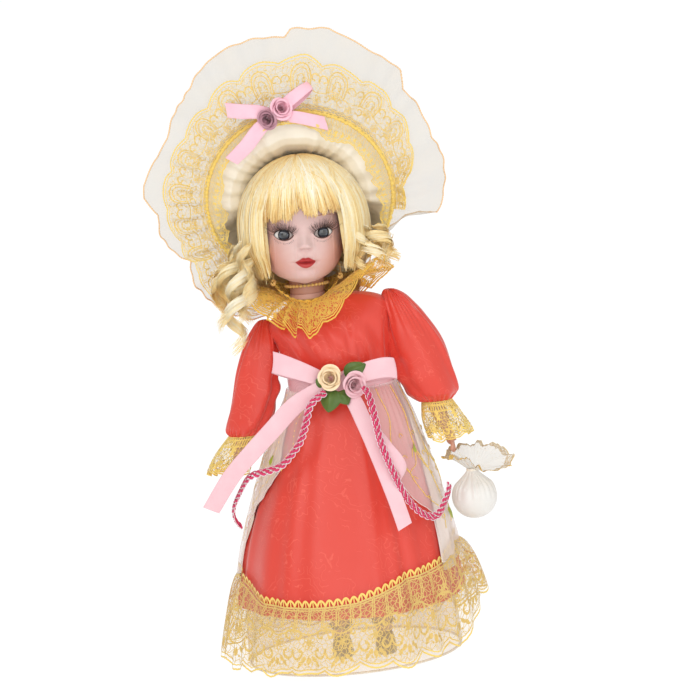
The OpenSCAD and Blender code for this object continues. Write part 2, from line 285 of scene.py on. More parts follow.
class Mat:
    def __init__(self, name, base=(0.8, 0.8, 0.8, 1), rough=0.5, metallic=0.0, alpha=1.0, sheen=0.0, coat=0.0,
                 coat_rough=0.1, spec=0.5, aniso=0.0, sss=0.0, trans=0.0):
        self.m = bpy.data.materials.new(name)
        self.m.use_nodes = True
        self.nt = self.m.node_tree
        self.b = self.nt.nodes["Principled BSDF"]
        s = self.b.inputs
        s["Base Color"].default_value = base
        s["Roughness"].default_value = rough
        s["Metallic"].default_value = metallic
        s["Alpha"].default_value = alpha
        s["Specular IOR Level"].default_value = spec
        s["Sheen Weight"].default_value = sheen
        s["Sheen Roughness"].default_value = 0.4
        s["Coat Weight"].default_value = coat
        s["Coat Roughness"].default_value = coat_rough
        s["Anisotropic"].default_value = aniso
        s["Subsurface Weight"].default_value = sss
        s["Subsurface Radius"].default_value = (0.006, 0.0025, 0.0015)
        s["Transmission Weight"].default_value = trans
        self.col = None
        self.height = None
        self.m.diffuse_color = base

    def n(self, t, **k):
        x = self.nt.nodes.new(t)
        for a, v in k.items():
            setattr(x, a, v)
        return x

    def link(self, a, b):
        self.nt.links.new(a, b)

    def coord(self):
        return self.n("ShaderNodeTexCoord").outputs["Object"]

    def uv(self):
        return self.n("ShaderNodeTexCoord").outputs["UV"]

    def mapping(self, src, scale=(1, 1, 1), rot=(0, 0, 0), loc=(0, 0, 0)):
        x = self.n("ShaderNodeMapping")
        x.inputs["Scale"].default_value = scale
        x.inputs["Rotation"].default_value = rot
        x.inputs["Location"].default_value = loc
        self.link(src, x.inputs["Vector"])
        return x.outputs["Vector"]

    def noise(self, src, scale, detail=3.0, rough=0.55, distort=0.0):
        x = self.n("ShaderNodeTexNoise")
        x.inputs["Scale"].default_value = scale
        x.inputs["Detail"].default_value = detail
        x.inputs["Roughness"].default_value = rough
        x.inputs["Distortion"].default_value = distort
        self.link(src, x.inputs["Vector"])
        return x.outputs["Fac"]

    def wave(self, src, scale, distort=0.0, detail=1.0, dscale=1.0, direction="X", profile="SIN"):
        x = self.n("ShaderNodeTexWave")
        x.bands_direction = direction
        x.wave_profile = profile
        x.inputs["Scale"].default_value = scale
        x.inputs["Distortion"].default_value = distort
        x.inputs["Detail"].default_value = detail
        x.inputs["Detail Scale"].default_value = dscale
        self.link(src, x.inputs["Vector"])
        return x.outputs["Fac"]

    def voronoi(self, src, scale, feature="F1", out="Distance"):
        x = self.n("ShaderNodeTexVoronoi")
        x.feature = feature
        x.inputs["Scale"].default_value = scale
        self.link(src, x.inputs["Vector"])
        return x.outputs[out]

    def math(self, op, a, b=None, clamp=False):
        x = self.n("ShaderNodeMath", operation=op, use_clamp=clamp)
        for i, v in enumerate((a, b)):
            if v is None:
                continue
            if isinstance(v, (int, float)):
                x.inputs[i].default_value = v
            else:
                self.link(v, x.inputs[i])
        return x.outputs[0]

    def ramp(self, fac, stops):
        x = self.n("ShaderNodeValToRGB")
        e = x.color_ramp.elements
        while len(e) < len(stops):
            e.new(0.5)
        for el, (p, c) in zip(e, stops):
            el.position = p
            el.color = c if len(c) == 4 else tuple(c) + (1,)
        self.link(fac, x.inputs[0])
        return x.outputs["Color"]

    def mix(self, fac, a, b, blend="MIX"):
        x = self.n("ShaderNodeMix", data_type="RGBA", blend_type=blend)
        for sock, v in ((x.inputs[0], fac), (x.inputs[6], a), (x.inputs[7], b)):
            if isinstance(v, (int, float)):
                sock.default_value = v
            elif isinstance(v, tuple):
                sock.default_value = v
            else:
                self.link(v, sock)
        return x.outputs[2]

    def attr(self, name="Col"):
        x = self.n("ShaderNodeAttribute")
        x.attribute_name = name
        return x.outputs["Color"]

    def base(self, c):
        self.link(c, self.b.inputs["Base Color"])

    def rough(self, fac, lo, hi):
        x = self.n("ShaderNodeMapRange")
        x.inputs["To Min"].default_value = lo
        x.inputs["To Max"].default_value = hi
        self.link(fac, x.inputs["Value"])
        self.link(x.outputs[0], self.b.inputs["Roughness"])

    def bump(self, fac, dist, strength=1.0):
        x = self.n("ShaderNodeBump")
        x.inputs["Distance"].default_value = dist
        x.inputs["Strength"].default_value = strength
        self.link(fac, x.inputs["Height"])
        self.link(x.outputs["Normal"], self.b.inputs["Normal"])


# ------------------------------------------------------------------ mesh helpers
def mesh(name, V, F, mat, smooth=True, col=None, uv=None):
    """V in doll millimetres (n,3); F an (m,3) or (m,4) array or a list."""
    me = bpy.data.meshes.new(name)
    V = W(V)
    if isinstance(F, np.ndarray):
        k = F.shape[1]
        me.vertices.add(len(V))
        me.vertices.foreach_set("co", V.astype(np.float32).ravel())
        me.loops.add(F.size)
        me.loops.foreach_set("vertex_index", F.astype(np.int32).ravel())
        me.polygons.add(len(F))
        me.polygons.foreach_set("loop_start", np.arange(0, F.size, k, dtype=np.int32))
        try:
            me.polygons.foreach_set("loop_total", np.full(len(F), k, dtype=np.int32))
        except Exception:
            pass
        me.update(calc_edges=True)
    else:
        me.from_pydata([tuple(v) for v in V], [], [tuple(f) for f in F])
    me.validate()
    if smooth:
        me.polygons.foreach_set("use_smooth", np.ones(len(me.polygons), dtype=bool))
    if col is not None:
        c = np.asarray(col, dtype=np.float32)
        if c.shape[1] == 3:
            c = np.hstack([c, np.ones((len(c), 1), np.float32)])
        a = me.color_attributes.new("Col", "FLOAT_COLOR", "POINT")
        a.data.foreach_set("color", c.ravel())
    if uv is not None:
        l = me.uv_layers.new(name="UVMap")
        idx = np.empty(len(me.loops), dtype=np.int32)
        me.loops.foreach_get("vertex_index", idx)
        l.data.foreach_set("uv", np.asarray(uv, dtype=np.float32)[idx].ravel())
    me.materials.append(mat.m if isinstance(mat, Mat) else mat)
    ob = bpy.data.objects.new(name, me)
    bpy.context.scene.collection.objects.link(ob)
    return ob


def gridfaces(m, n, closed=False, flip=False):
    w = n if closed else n - 1
    i, j = np.meshgrid(np.arange(m - 1), np.arange(w), indexing="ij")
    k = (j + 1) % n
    f = np.stack([i * n + j, i * n + k, (i + 1) * n + k, (i + 1) * n + j], -1).reshape(-1, 4)
    return f[:, ::-1].copy() if flip else f


class Bag:
    """Gathers vertices, faces and colours for one piece."""
    def __init__(self):
        self.V, self.F, self.C, self.U, self.n = [], [], [], [], 0

    def add(self, V, F, col=None, uv=None):
        V = np.asarray(V, float).reshape(-1, 3)
        self.V.append(V)
        self.F.append(np.asarray(F) + self.n)
        if col is not None:
            c = np.asarray(col, float)
            self.C.append(np.tile(c, (len(V), 1)) if c.ndim == 1 else c)
        if uv is not None:
            self.U.append(np.asarray(uv, float))
        self.n += len(V)

    def strip(self, P, N, w, h=0.0, col=None):
        """Flat or slightly rounded ribbon along P, facing N."""
        P = np.asarray(P, float)
        T = np.gradient(P, axis=0)
        T /= np.linalg.norm(T, axis=1, keepdims=True) + 1e-9
        N = np.broadcast_to(np.asarray(N, float), P.shape)
        B = np.cross(T, N)
        B /= np.linalg.norm(B, axis=1, keepdims=True) + 1e-9
        w = np.broadcast_to(np.asarray(w, float), (len(P),))[:, None] / 2
        if h:
            V = np.stack([P - B * w, P + N * h, P + B * w], 1).reshape(-1, 3)
            k = 3
        else:
            V = np.stack([P - B * w, P + B * w], 1).reshape(-1, 3)
            k = 2
        F = gridfaces(len(P), k)
        if col is not None and np.ndim(col) == 2:
            col = np.repeat(np.asarray(col, float), k, axis=0)
        self.add(V, F, col)

    def tube(self, P, r, n=6, col=None, closed=False):
        P = np.asarray(P, float)
        if closed:
            T = np.roll(P, -1, 0) - np.roll(P, 1, 0)
        else:
            T = np.gradient(P, axis=0)
        T /= np.linalg.norm(T, axis=1, keepdims=True) + 1e-9
        # parallel transport
        u = np.cross(T[0], [0.13, 0.31, 0.94])
        if np.linalg.norm(u) < 0.2:
            u = np.cross(T[0], [0.9, 0.1, 0.2])
        u /= np.linalg.norm(u)
        U = [u]
        for t in T[1:]:
            u = u - t * np.dot(u, t)
            u /= np.linalg.norm(u) + 1e-9
            U.append(u)
        U = np.array(U)
        Wd = np.cross(T, U)
        a = np.arange(n) * 2 * pi / n
        r = np.broadcast_to(np.asarray(r, float), (len(P),))[:, None, None]
        V = P[:, None, :] + r * (np.cos(a)[None, :, None] * U[:, None, :] + np.sin(a)[None, :, None] * Wd[:, None, :])
        m = len(P)
        F = gridfaces(m + (1 if closed else 0), n, True)
        if closed:
            F = np.where(F >= m * n, F - m * n, F)
        if col is not None and np.ndim(col) == 2:
            col = np.repeat(np.asarray(col, float), n, axis=0)
        self.add(V.reshape(-1, 3), F, col)

    def obj(self, name, mat, smooth=True):
        if not self.F:
            return None
        k = {f.shape[1] for f in self.F}
        V = np.vstack(self.V)
        if len(k) == 1:
            F = np.vstack(self.F)
        else:
            F = [tuple(r) for f in self.F for r in f]
        return mesh(name, V, F, mat, smooth, np.vstack(self.C) if self.C else None, np.vstack(self.U) if self.U else None)


def sphere_vf(c, r, nu=16, nv=12):
    v = np.linspace(0, pi, nv)
    u = np.arange(nu) * 2 * pi / nu
    V = np.stack([np.outer(np.sin(v), np.cos(u)), np.outer(np.sin(v), np.sin(u)), np.outer(np.cos(v), np.ones(nu))], -1)
    return (np.asarray(c) + np.asarray(r) * V.reshape(-1, 3)), gridfaces(nv, nu, True, True)


def catmull(P, k):
    P = np.asarray(P, float)
    out = []
    for i in range(len(P) - 1):
        a, b, c, d = P[max(i - 1, 0)], P[i], P[i + 1], P[min(i + 2, len(P) - 1)]
        for s in range(k):
            u = s / k
            out.append(0.5 * ((2 * b) + (c - a) * u + (2 * a - 5 * b + 4 * c - d) * u * u + (3 * b - a - 3 * c + d) * u ** 3))
    out.append(P[-1])
    return np.array(out)


def rows_at(rows, t):
    """Smoothly interpolated ring rows at parameter t (0..len-1)."""
    rows = np.asarray(rows, float)
    t = np.clip(np.asarray(t, float), 0, len(rows) - 1 - 1e-9)
    i = np.floor(t).astype(int)
    u = (t - i)[:, None]
    a, b, c, d = rows[np.maximum(i - 1, 0)], rows[i], rows[i + 1], rows[np.minimum(i + 2, len(rows) - 1)]
    return 0.5 * ((2 * b) + (c - a) * u + (2 * a - 5 * b + 4 * c - d) * u * u + (3 * b - a - 3 * c + d) * u ** 3)


def sstep(x, a, b):
    t = np.clip((x - a) / (b - a), 0, 1)
    return t * t * (3 - 2 * t)


def area_of(ob):
    ob.data.calc_loop_triangles()
    V = np.empty(len(ob.data.vertices) * 3)
    ob.data.vertices.foreach_get("co", V)
    V = V.reshape(-1, 3)
    t = np.empty(len(ob.data.loop_triangles) * 3, dtype=np.int32)
    ob.data.loop_triangles.foreach_get("vertices", t)
    t = t.reshape(-1, 3)
    return float(0.5 * np.linalg.norm(np.cross(V[t[:, 1]] - V[t[:, 0]], V[t[:, 2]] - V[t[:, 0]]), axis=1).sum())


def cloth(ob, width, held="gathered", rests=(), parts=()):
    """Declares a sheet: width in mm across the strip, its length from its own area."""
    A = area_of(ob)
    w = width * S
    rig.sheet(ob, flat=(round(w, 4), round(A / w, 4)), held=held, rests_on=list(rests), with_pieces=list(parts))


def put(ob, body, nodes=(), slot=None):
    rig.ride(ob, body)
    if nodes:
        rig.replaces(ob, *nodes)
    if slot:
        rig.slot(ob, slot)
    return ob


# ------------------------------------------------------------------ materials
def m_skin():
    m = Mat("bisque", (0.6, 0.4, 0.32, 1), 0.42, sss=0.06, spec=0.45)
    c = m.coord()
    n1 = m.noise(c, 240, 4)
    n2 = m.noise(c, 1500, 3)
    speck = m.ramp(m.voronoi(c, 95), [(0.0, (0.35, 0.25, 0.22, 1)), (0.022, (1, 1, 1, 1))])
    col = m.mix(0.05, m.attr(), m.ramp(n1, [(0.35, (0.55, 0.35, 0.28, 1)), (0.65, (1, 0.9, 0.85, 1))]), "OVERLAY")
    m.base(m.mix(0.35, col, speck, "MULTIPLY"))
    m.rough(n2, 0.36, 0.5)
    m.bump(n2, 0.00003, 0.4)
    return m


def m_attr(name, rough=0.4, scale=400, var=0.06, coat=0.0, spec=0.5, sheen=0.0, metallic=0.0, aniso=0.0, bump=0.00002):
    m = Mat(name, (0.5, 0.5, 0.5, 1), rough, coat=coat, spec=spec, sheen=sheen, metallic=metallic, aniso=aniso)
    n = m.noise(m.coord(), scale, 3)
    m.base(m.mix(var, m.attr(), m.ramp(n, [(0.3, (0.1, 0.08, 0.06, 1)), (0.7, (1, 1, 1, 1))]), "OVERLAY"))
    m.rough(n, max(rough - 0.06, 0.02), rough + 0.08)
    if bump:
        m.bump(n, bump, 0.5)
    return m


def m_satin(name, c1, c2, rough=0.34, weave=1400, sheen=0.25, spec=0.5, bump=0.00004):
    m = Mat(name, c1, rough, sheen=sheen, spec=spec, aniso=0.35)
    c = m.coord()
    n = m.noise(c, 130, 3)
    th = m.wave(m.mapping(c, (1, 1, 0.25)), weave, 1.5, 2, 3, "DIAGONAL")
    m.base(m.mix(m.math("MULTIPLY", n, 0.9), c1, c2))
    m.rough(m.math("ADD", m.math("MULTIPLY", th, 0.4), m.math("MULTIPLY", n, 0.6)), rough - 0.07, rough + 0.12)
    m.bump(th, bump, 0.5)
    return m


def m_jacquard():
    # tone-on-tone swirls woven into coral satin
    m = Mat("coral_jacquard", lin((226, 66, 56)), 0.38, sheen=0.3, spec=0.5, aniso=0.3)
    c = m.coord()
    warp = m.n("ShaderNodeTexNoise")
    warp.inputs["Scale"].default_value = 110
    warp.inputs["Detail"].default_value = 1.5
    m.link(c, warp.inputs["Vector"])
    add = m.n("ShaderNodeVectorMath", operation="SCALE")
    m.link(warp.outputs["Color"], add.inputs[0])
    add.inputs["Scale"].default_value = 0.022
    s = m.n("ShaderNodeVectorMath", operation="ADD")
    m.link(c, s.inputs[0])
    m.link(add.outputs[0], s.inputs[1])
    w = m.wave(s.outputs[0], 46, 6.5, 2.0, 1.4, "DIAGONAL")
    pat = m.ramp(w, [(0.36, (0, 0, 0, 1)), (0.46, (1, 1, 1, 1)), (0.54, (1, 1, 1, 1)), (0.64, (0, 0, 0, 1))])
    big = m.noise(c, 22, 2)
    mask = m.math("MULTIPLY", pat, m.math("GREATER_THAN", m.noise(s.outputs[0], 60, 1), 0.5))
    a = m.mix(mask, lin((224, 68, 52)), lin((234, 92, 74)))
    m.base(m.mix(m.math("MULTIPLY", big, 0.22), a, lin((212, 50, 38))))
    th = m.wave(m.mapping(c, (1, 1, 0.4)), 1500, 1.2, 2, 3, "DIAGONAL")
    m.rough(m.math("ADD", m.math("MULTIPLY", mask, 0.6), m.math("MULTIPLY", th, 0.3)), 0.30, 0.52)
    m.bump(m.math("ADD", m.math("MULTIPLY", mask, 0.8), m.math("MULTIPLY", th, 0.35)), 0.00007, 0.5)
    return m


def m_thread(name, c1, c2, rough=0.45, metallic=0.25, scale=900):
    m = Mat(name, c1, rough, metallic=metallic, sheen=0.2)
    n = m.noise(m.coord(), scale, 2)
    big = m.noise(m.coord(), 60, 2)
    f = m.math("ADD", m.math("MULTIPLY", n, 0.6), m.math("MULTIPLY", big, 0.5), True)
    m.base(m.mix(f, c1, c2))
    m.rough(n, rough - 0.1, rough + 0.15)
    m.bump(n, 0.00005, 0.6)
    return m


def m_sheer(name, c1, c2, alpha, rough=0.5):
    m = Mat(name, c1, rough, alpha=alpha, sheen=0.3, spec=0.3)
    c = m.coord()
    n = m.noise(c, 90, 3)
    w = m.wave(c, 900, 1.0, 1, 2, "DIAGONAL")
    m.base(m.mix(m.math("MULTIPLY", n, 0.9), c1, c2))
    m.rough(w, rough - 0.12, rough + 0.12)
    m.bump(w, 0.00003, 0.4)
    return m


SKIN = m_skin()
EYE = m_attr("eye_glass", 0.06, 900, 0.05, coat=1.0, spec=0.6, bump=0)
LASH = m_attr("lash_fibre", 0.5, 900, 0.1)
HAIR = m_attr("wig_fibre", 0.34, 700, 0.16, spec=0.55, sheen=0.15, aniso=0.4)
GOLD = m_thread("gold_lace_thread", lin((248, 220, 124)), lin((238, 202, 96)), 0.45, 0.0)
GOLD_D = m_thread("gold_lace_dense", lin((238, 200, 110)), lin((214, 166, 78)), 0.45, 0.0)
PEACH = m_thread("peach_overlock", lin((247, 216, 172)), lin((240, 190, 132)), 0.5, 0.0)
NETG = m_sheer("gold_net", lin((240, 226, 186)), lin((234, 212, 160)), 0.2)
CORAL = m_jacquard()
PINK = m_satin("pink_ribbon", lin((244, 206, 211)), lin((236, 182, 191)), 0.27)
PINK_H = m_satin("pink_ribbon_hat", lin((250, 206, 218)), lin((244, 182, 200)), 0.3)
MAUVE = m_satin("mauve_ribbon", lin((206, 160, 172)), lin((168, 112, 128)), 0.34)
CREAM = m_satin("cream_ribbon", lin((252, 236, 204)), lin((246, 212, 164)), 0.32)
IVORY = m_satin("ivory_satin", lin((252, 246, 234)), lin((248, 238, 220)), 0.36, 1100)
LEAF = m_satin("leaf_ribbon", lin((96, 122, 44)), lin((50, 80, 26)), 0.32)
ORG = m_sheer("organza", lin((190, 186, 177)), lin((212, 194, 164)), 0.46, 0.42)
ORG_S = m_sheer("organza_skirt", lin((252, 242, 240)), lin((250, 230, 228)), 0.44, 0.42)
TULLE = m_sheer("tulle", lin((240, 220, 192)), lin((230, 204, 170)), 0.4, 0.6)
BRAID = m_satin("magenta_gimp", lin((228, 58, 112)), lin((200, 36, 84)), 0.42, 1800)
SILVER = m_thread("silver_edge", lin((250, 240, 242)), lin((226, 214, 220)), 0.3, 0.2)
PEARL = m_satin("gilt_pearl", lin((238, 200, 120)), lin((206, 150, 66)), 0.22, 300)
BLACK = m_satin("shoe_black", lin((30, 28, 28)), lin((52, 48, 46)), 0.3, 600)
COTTON = m_satin("cotton", lin((236, 226, 208)), lin((224, 210, 188)), 0.8, 900)
WOODM = m_satin("turned_wood", lin((196, 160, 116)), lin((160, 120, 80)), 0.6, 300)
IVORY_S = m_satin("ivory_underskirt", lin((246, 238, 226)), lin((240, 228, 208)), 0.4, 1100)
ORG_E = m_sheer("organza_edge", lin((250, 244, 238)), lin((246, 232, 222)), 0.75, 0.42)
LEAF_E = m_thread("leaf_thread", lin((190, 196, 74)), lin((140, 160, 48)), 0.45, 0.0)
BAGM = m_satin("bag_satin", lin((238, 236, 232)), lin((226, 221, 213)), 0.3, 1300)
ORG_B = m_sheer("organza_bag", lin((216, 213, 206)), lin((226, 216, 196)), 0.5, 0.4)
GLIT = m_thread("gold_glitter", lin((242, 212, 120)), lin((224, 180, 76)), 0.35, 0.15, 2500)
NETH = m_sheer("hem_net", lin((226, 204, 162)), lin((216, 188, 140)), 0.24)
GOLD_C = m_thread("gold_collar_thread", lin((248, 208, 98)), lin((236, 188, 70)), 0.45, 0.0)
NETC = m_sheer("collar_net", lin((242, 208, 120)), lin((234, 190, 92)), 0.22)
LINING = m_satin("lining_satin", lin((246, 239, 224)), lin((240, 231, 212)), 0.36, 1100)
BIND = m_sheer("hem_binding", lin((244, 232, 210)), lin((236, 220, 194)), 0.6, 0.6)
STEEL = m_satin("steel", lin((170, 170, 172)), lin((140, 140, 144)), 0.35, 500)

# ================================================================== HEAD
HX, HZ, HY = -2.5, 255.6, 0.0
ROLL, YAW = math.radians(2.5), math.radians(4.0)


def head_to_doll(u, v, w):
    """Head coordinates (right, up, forward from the head's axis) to doll millimetres."""
    u, v, w = (np.asarray(a, float) for a in (u, v, w))
    a = u * math.cos(YAW) + w * math.sin(YAW)
    b = -u * math.sin(YAW) + w * math.cos(YAW)
    x = HX + a * math.cos(ROLL) + v * math.sin(ROLL)
    z = HZ - a * math.sin(ROLL) + v * math.cos(ROLL)
    return np.stack([x, HY - b, z], -1)


HV = [-30.6, -29.4, -26.8, -22.5, -17, -10, -3, 5, 13, 21, 27, 31, 33, 34]
HU = [4, 10.2, 15.6, 20.0, 23.0, 24.8, 25.2, 25.6, 25.2, 23.2, 19, 13, 7, 0.01]
HF = [19, 22.5, 25.6, 27.6, 28.2, 28.8, 28.4, 29.4, 29.4, 26.4, 20.6, 13.5, 7, 0.01]
HB = [-7, 0, 6, 11, 16, 22, 26, 28.5, 29, 27, 21.5, 14, 7, 0.01]
EYE_U, EYE_V, EYE_A, EYE_UP, EYE_LO = 11.5, -1.3, 5.5, 3.5, 2.8


def gau(x, s):
    return np.exp(-0.5 * (x / s) ** 2)


def prof(v, K):
    t = np.interp(v, HV, np.arange(len(HV)))
    return rows_at(np.asarray(K, float)[:, None], t)[:, 0]


def features(u, v):
    """Forward relief of the face, millimetres."""
    au = np.abs(u)
    d = np.zeros_like(u)
    # nose: bridge, ridge, tip, wings
    ridge = np.interp(v, [-11, -9.6, -8.2, -6.6, -4.5, -1.5, 2, 6, 9], [0, 0.9, 3.6, 4.7, 3.8, 2.3, 1.3, 0.5, 0])
    wid = np.interp(v, [-10, -7, -3, 3], [2.5, 2.3, 2.0, 2.8])
    d += ridge * gau(u, wid)
    d += 1.6 * gau(np.hypot(au - 3.0, (v + 8.3) * 1.1), 1.25)
    d -= 0.9 * gau(np.hypot(au - 1.7, (v + 9.6) * 1.4), 0.75)
    # eye sockets and lids
    e = v - EYE_V
    d -= 1.4 * gau(au - EYE_U, 6.6) * gau(e - 0.8, 4.2)
    d += 0.9 * gau(au - EYE_U, 5.2) * gau(e - 5.2, 1.7)
    d -= 0.35 * gau(au - EYE_U, 5.0) * gau(e - 4.3, 0.5)
    d -= 0.3 * gau(au - 5.4, 2.2) * gau(e - 1.0, 3.2)
    d += 0.35 * gau(au - EYE_U, 4.6) * gau(e + 4.2, 1.2)
    # brow, cheeks, temples
    d += 0.6 * gau(au - 11, 6) * gau(v - 9, 2.6)
    d += 2.3 * gau(np.hypot((au - 13.5) * 0.9, v + 12), 6.2)
    # mouth
    d += 1.7 * gau(u, 7.5) * gau(v + 17.2, 5.2)
    d += 1.5 * gau(au - 1.9, 1.9) * gau(v + 15.6, 1.0)
    d += 0.9 * gau(u, 4.6) * gau(v + 15.9, 0.9)
    d += 1.9 * gau(u, 3.3) * gau(v + 19.1, 1.25)
    d -= 1.35 * gau(u, 4.6) * gau(v + 17.15, 0.42)
    d -= 0.9 * gau(np.hypot(au - 6.2, v + 17.0), 1.1)
    d -= 0.5 * gau(u, 0.9) * gau(v + 12.6, 1.5)
    d -= 1.2 * gau(u, 4.4) * gau(v + 22.2, 1.3)
    d += 2.3 * gau(u, 5.2) * gau(v + 26, 3.0)
    return d


def face_w(u, v):
    """Forward depth of the face surface at (u, v) on the front."""
    U = prof(v, HU)
    Fd = prof(v, HF)
    c = np.clip(1 - np.abs(u / np.maximum(U, 0.02)) ** 2.25, 0, 1) ** (1 / 2.25)
    return Fd * c + features(u, v) * sstep(c, 0.12, 0.5)


def lids(x):
    q = np.clip(1 - (x / EYE_A) ** 2, 0, 1)
    return EYE_UP * q ** 0.62, EYE_LO * q ** 0.75


def lip_mask(u, v):
    a = 6.0
    q = np.clip(1 - (np.abs(u) / a) ** 1.7, 0, 1)
    up = -16.9 + 2.5 * q ** 0.8 + 0.38 * gau(np.abs(u) - 1.8, 1.0) - 0.2 * gau(u, 0.7)
    lo = -16.9 - 3.7 * q ** 0.9
    inside = np.minimum(up - v, v - lo)
    return sstep(inside, -0.12, 0.22) * (np.abs(u) < a)


def build_head():
    nv, nf, nb = 300, 300, 70
    v = -30.6 + 64.6 * (np.linspace(0, 1, nv))
    # angle round the head, denser over the face
    front = np.linspace(-pi / 2, pi / 2, nf, endpoint=False)
    back = np.linspace(pi / 2, 3 * pi / 2, nb, endpoint=False)
    ang = np.concatenate([front, back])
    U, Fd, Bd = prof(v, HU), prof(v, HF), prof(v, HB)
    s = np.sin(ang)
    u = U[:, None] * (np.sign(s) * np.abs(s) ** 0.93)[None, :]
    c = np.clip(1 - np.abs(u / np.maximum(U[:, None], 0.02)) ** 2.25, 0, 1) ** (1 / 2.25)
    isf = (np.cos(ang) >= -1e-9)[None, :]
    w = np.where(isf, Fd[:, None] * c, -Bd[:, None] * c)
    vv = np.broadcast_to(v[:, None], u.shape)
    d = features(u, vv) * sstep(c, 0.12, 0.5) * isf
    w = w + d
    # eye openings: pull the surface in behind the glass, with a rounded lid edge
    out_v = vv.copy()
    for sgn in (-1, 1):
        x = u - sgn * EYE_U
        up, lo = lids(x)
        tilt = 0.05 * x * sgn
        y = vv - EYE_V - tilt
        ins = np.minimum(up - y, y + lo)
        ins = np.where(np.abs(x) < EYE_A, ins, -1.0)
        w = w - 5.5 * sstep(ins, 0.0, 0.45) * isf
        w = w + 0.35 * gau(ins + 0.55, 0.45) * isf * (np.abs(x) < EYE_A + 1.2)
    P = head_to_doll(u, out_v, w)
    # colours
    skin = np.array(lin((230, 196, 190))[:3])
    pale = np.array(lin((240, 215, 211))[:3])
    peach = np.array(lin((230, 164, 142))[:3])
    shade = np.array(lin((208, 166, 160))[:3])
    lip = np.array(lin((190, 54, 54))[:3])
    lipd = np.array(lin((140, 28, 34))[:3])
    au = np.abs(u)

    def mixc(C, col, f):
        return C * (1 - f[..., None]) + col * f[..., None]
    C = np.broadcast_to(skin, u.shape + (3,)).copy()
    C = mixc(C, pale, 0.8 * gau(u, 8) * gau(vv + 2, 12) * isf)
    C = mixc(C, peach, np.clip(0.72 * gau(np.hypot(au - 20.5, (vv + 14) * 0.8), 6.2), 0, 1) * isf)
    C = mixc(C, peach, np.clip(0.35 * gau(au - 14, 6) * gau(vv + 21, 4), 0, 1) * isf)
    C = mixc(C, shade, 0.5 * gau(au - EYE_U, 6.5) * gau(vv - EYE_V - 3.5, 3.2) * isf)
    C = mixc(C, shade, 0.3 * gau(np.hypot(au - 2.6, vv + 9.9), 1.1) * isf)
    C = mixc(C, np.array(lin((150, 112, 104))[:3]), 0.22 * gau(au - EYE_U, 4.9) * gau(vv - EYE_V - 3.9, 0.6) * isf)
    L = lip_mask(u, vv) * isf
    C = mixc(C, lip, L)
    C = mixc(C, lipd, L * np.clip(0.6 * gau(u, 5.2) * gau(vv + 17.15, 0.3), 0, 1))
    C = mixc(C, np.array(lin((214, 92, 88))[:3]), L * 0.5 * gau(u, 2.2) * gau(vv + 19.2, 0.8))
    for sgn in (-1, 1):
        x = u - sgn * EYE_U
        up, lo = lids(x)
        y = vv - EYE_V - 0.05 * x * sgn
        ins = np.where(np.abs(x) < EYE_A + 0.3, np.minimum(up - y, y + lo), -1)
        C = mixc(C, np.array(lin((150, 104, 92))[:3]), sstep(ins, -0.12, 0.1) * isf)
    shadow = 1.0 - 0.16 * sstep(vv, 2.0, 9.0) * isf
    C = C * shadow[..., None] * np.array([0.84, 0.775, 0.76])
    b = Bag()
    b.add(P.reshape(-1, 3), gridfaces(nv, nf + nb, True), C.reshape(-1, 3))
    # neck
    nz, na = 30, 64
    z = np.linspace(216.6, 236, nz)
    a = np.arange(na) * 2 * pi / na
    rr = np.interp(z, [216.6, 218, 223, 228, 236], [9.6, 10.1, 10.3, 10.8, 12.0])
    cx = np.interp(z, [216, 236], [-2.4, -1.6])
    N = np.stack([cx[:, None] + np.outer(rr, np.cos(a)), np.outer(rr, np.sin(a)) + 0.5, np.broadcast_to(z[:, None], (nz, na))], -1)
    Cn = np.broadcast_to(np.array(lin((204, 152, 132))[:3]), (nz, na, 3)).copy()
    # painted shade: the neck is painted darker towards the jaw, where the head shades it
    dark = sstep(z, 219, 228)[:, None, None] * 0.35
    Cn = Cn * (1 - dark) + np.array(lin((190, 128, 104))[:3]) * dark
    b.add(N.reshape(-1, 3), gridfaces(nz, na, True), Cn.reshape(-1, 3))
    # small ears, under the hair
    for sgn in (-1, 1):
        V, F = sphere_vf((0, 0, 0), (1.6, 3.2, 5.2), 20, 14)
        V = V + head_to_doll(sgn * 25.4, -5.0, 0.5)
        b.add(V, F, skin)
    ob = b.obj("porcelain_head", SKIN)
    put(ob, "head", ["head"], "porcelain")
    return ob


build_head()


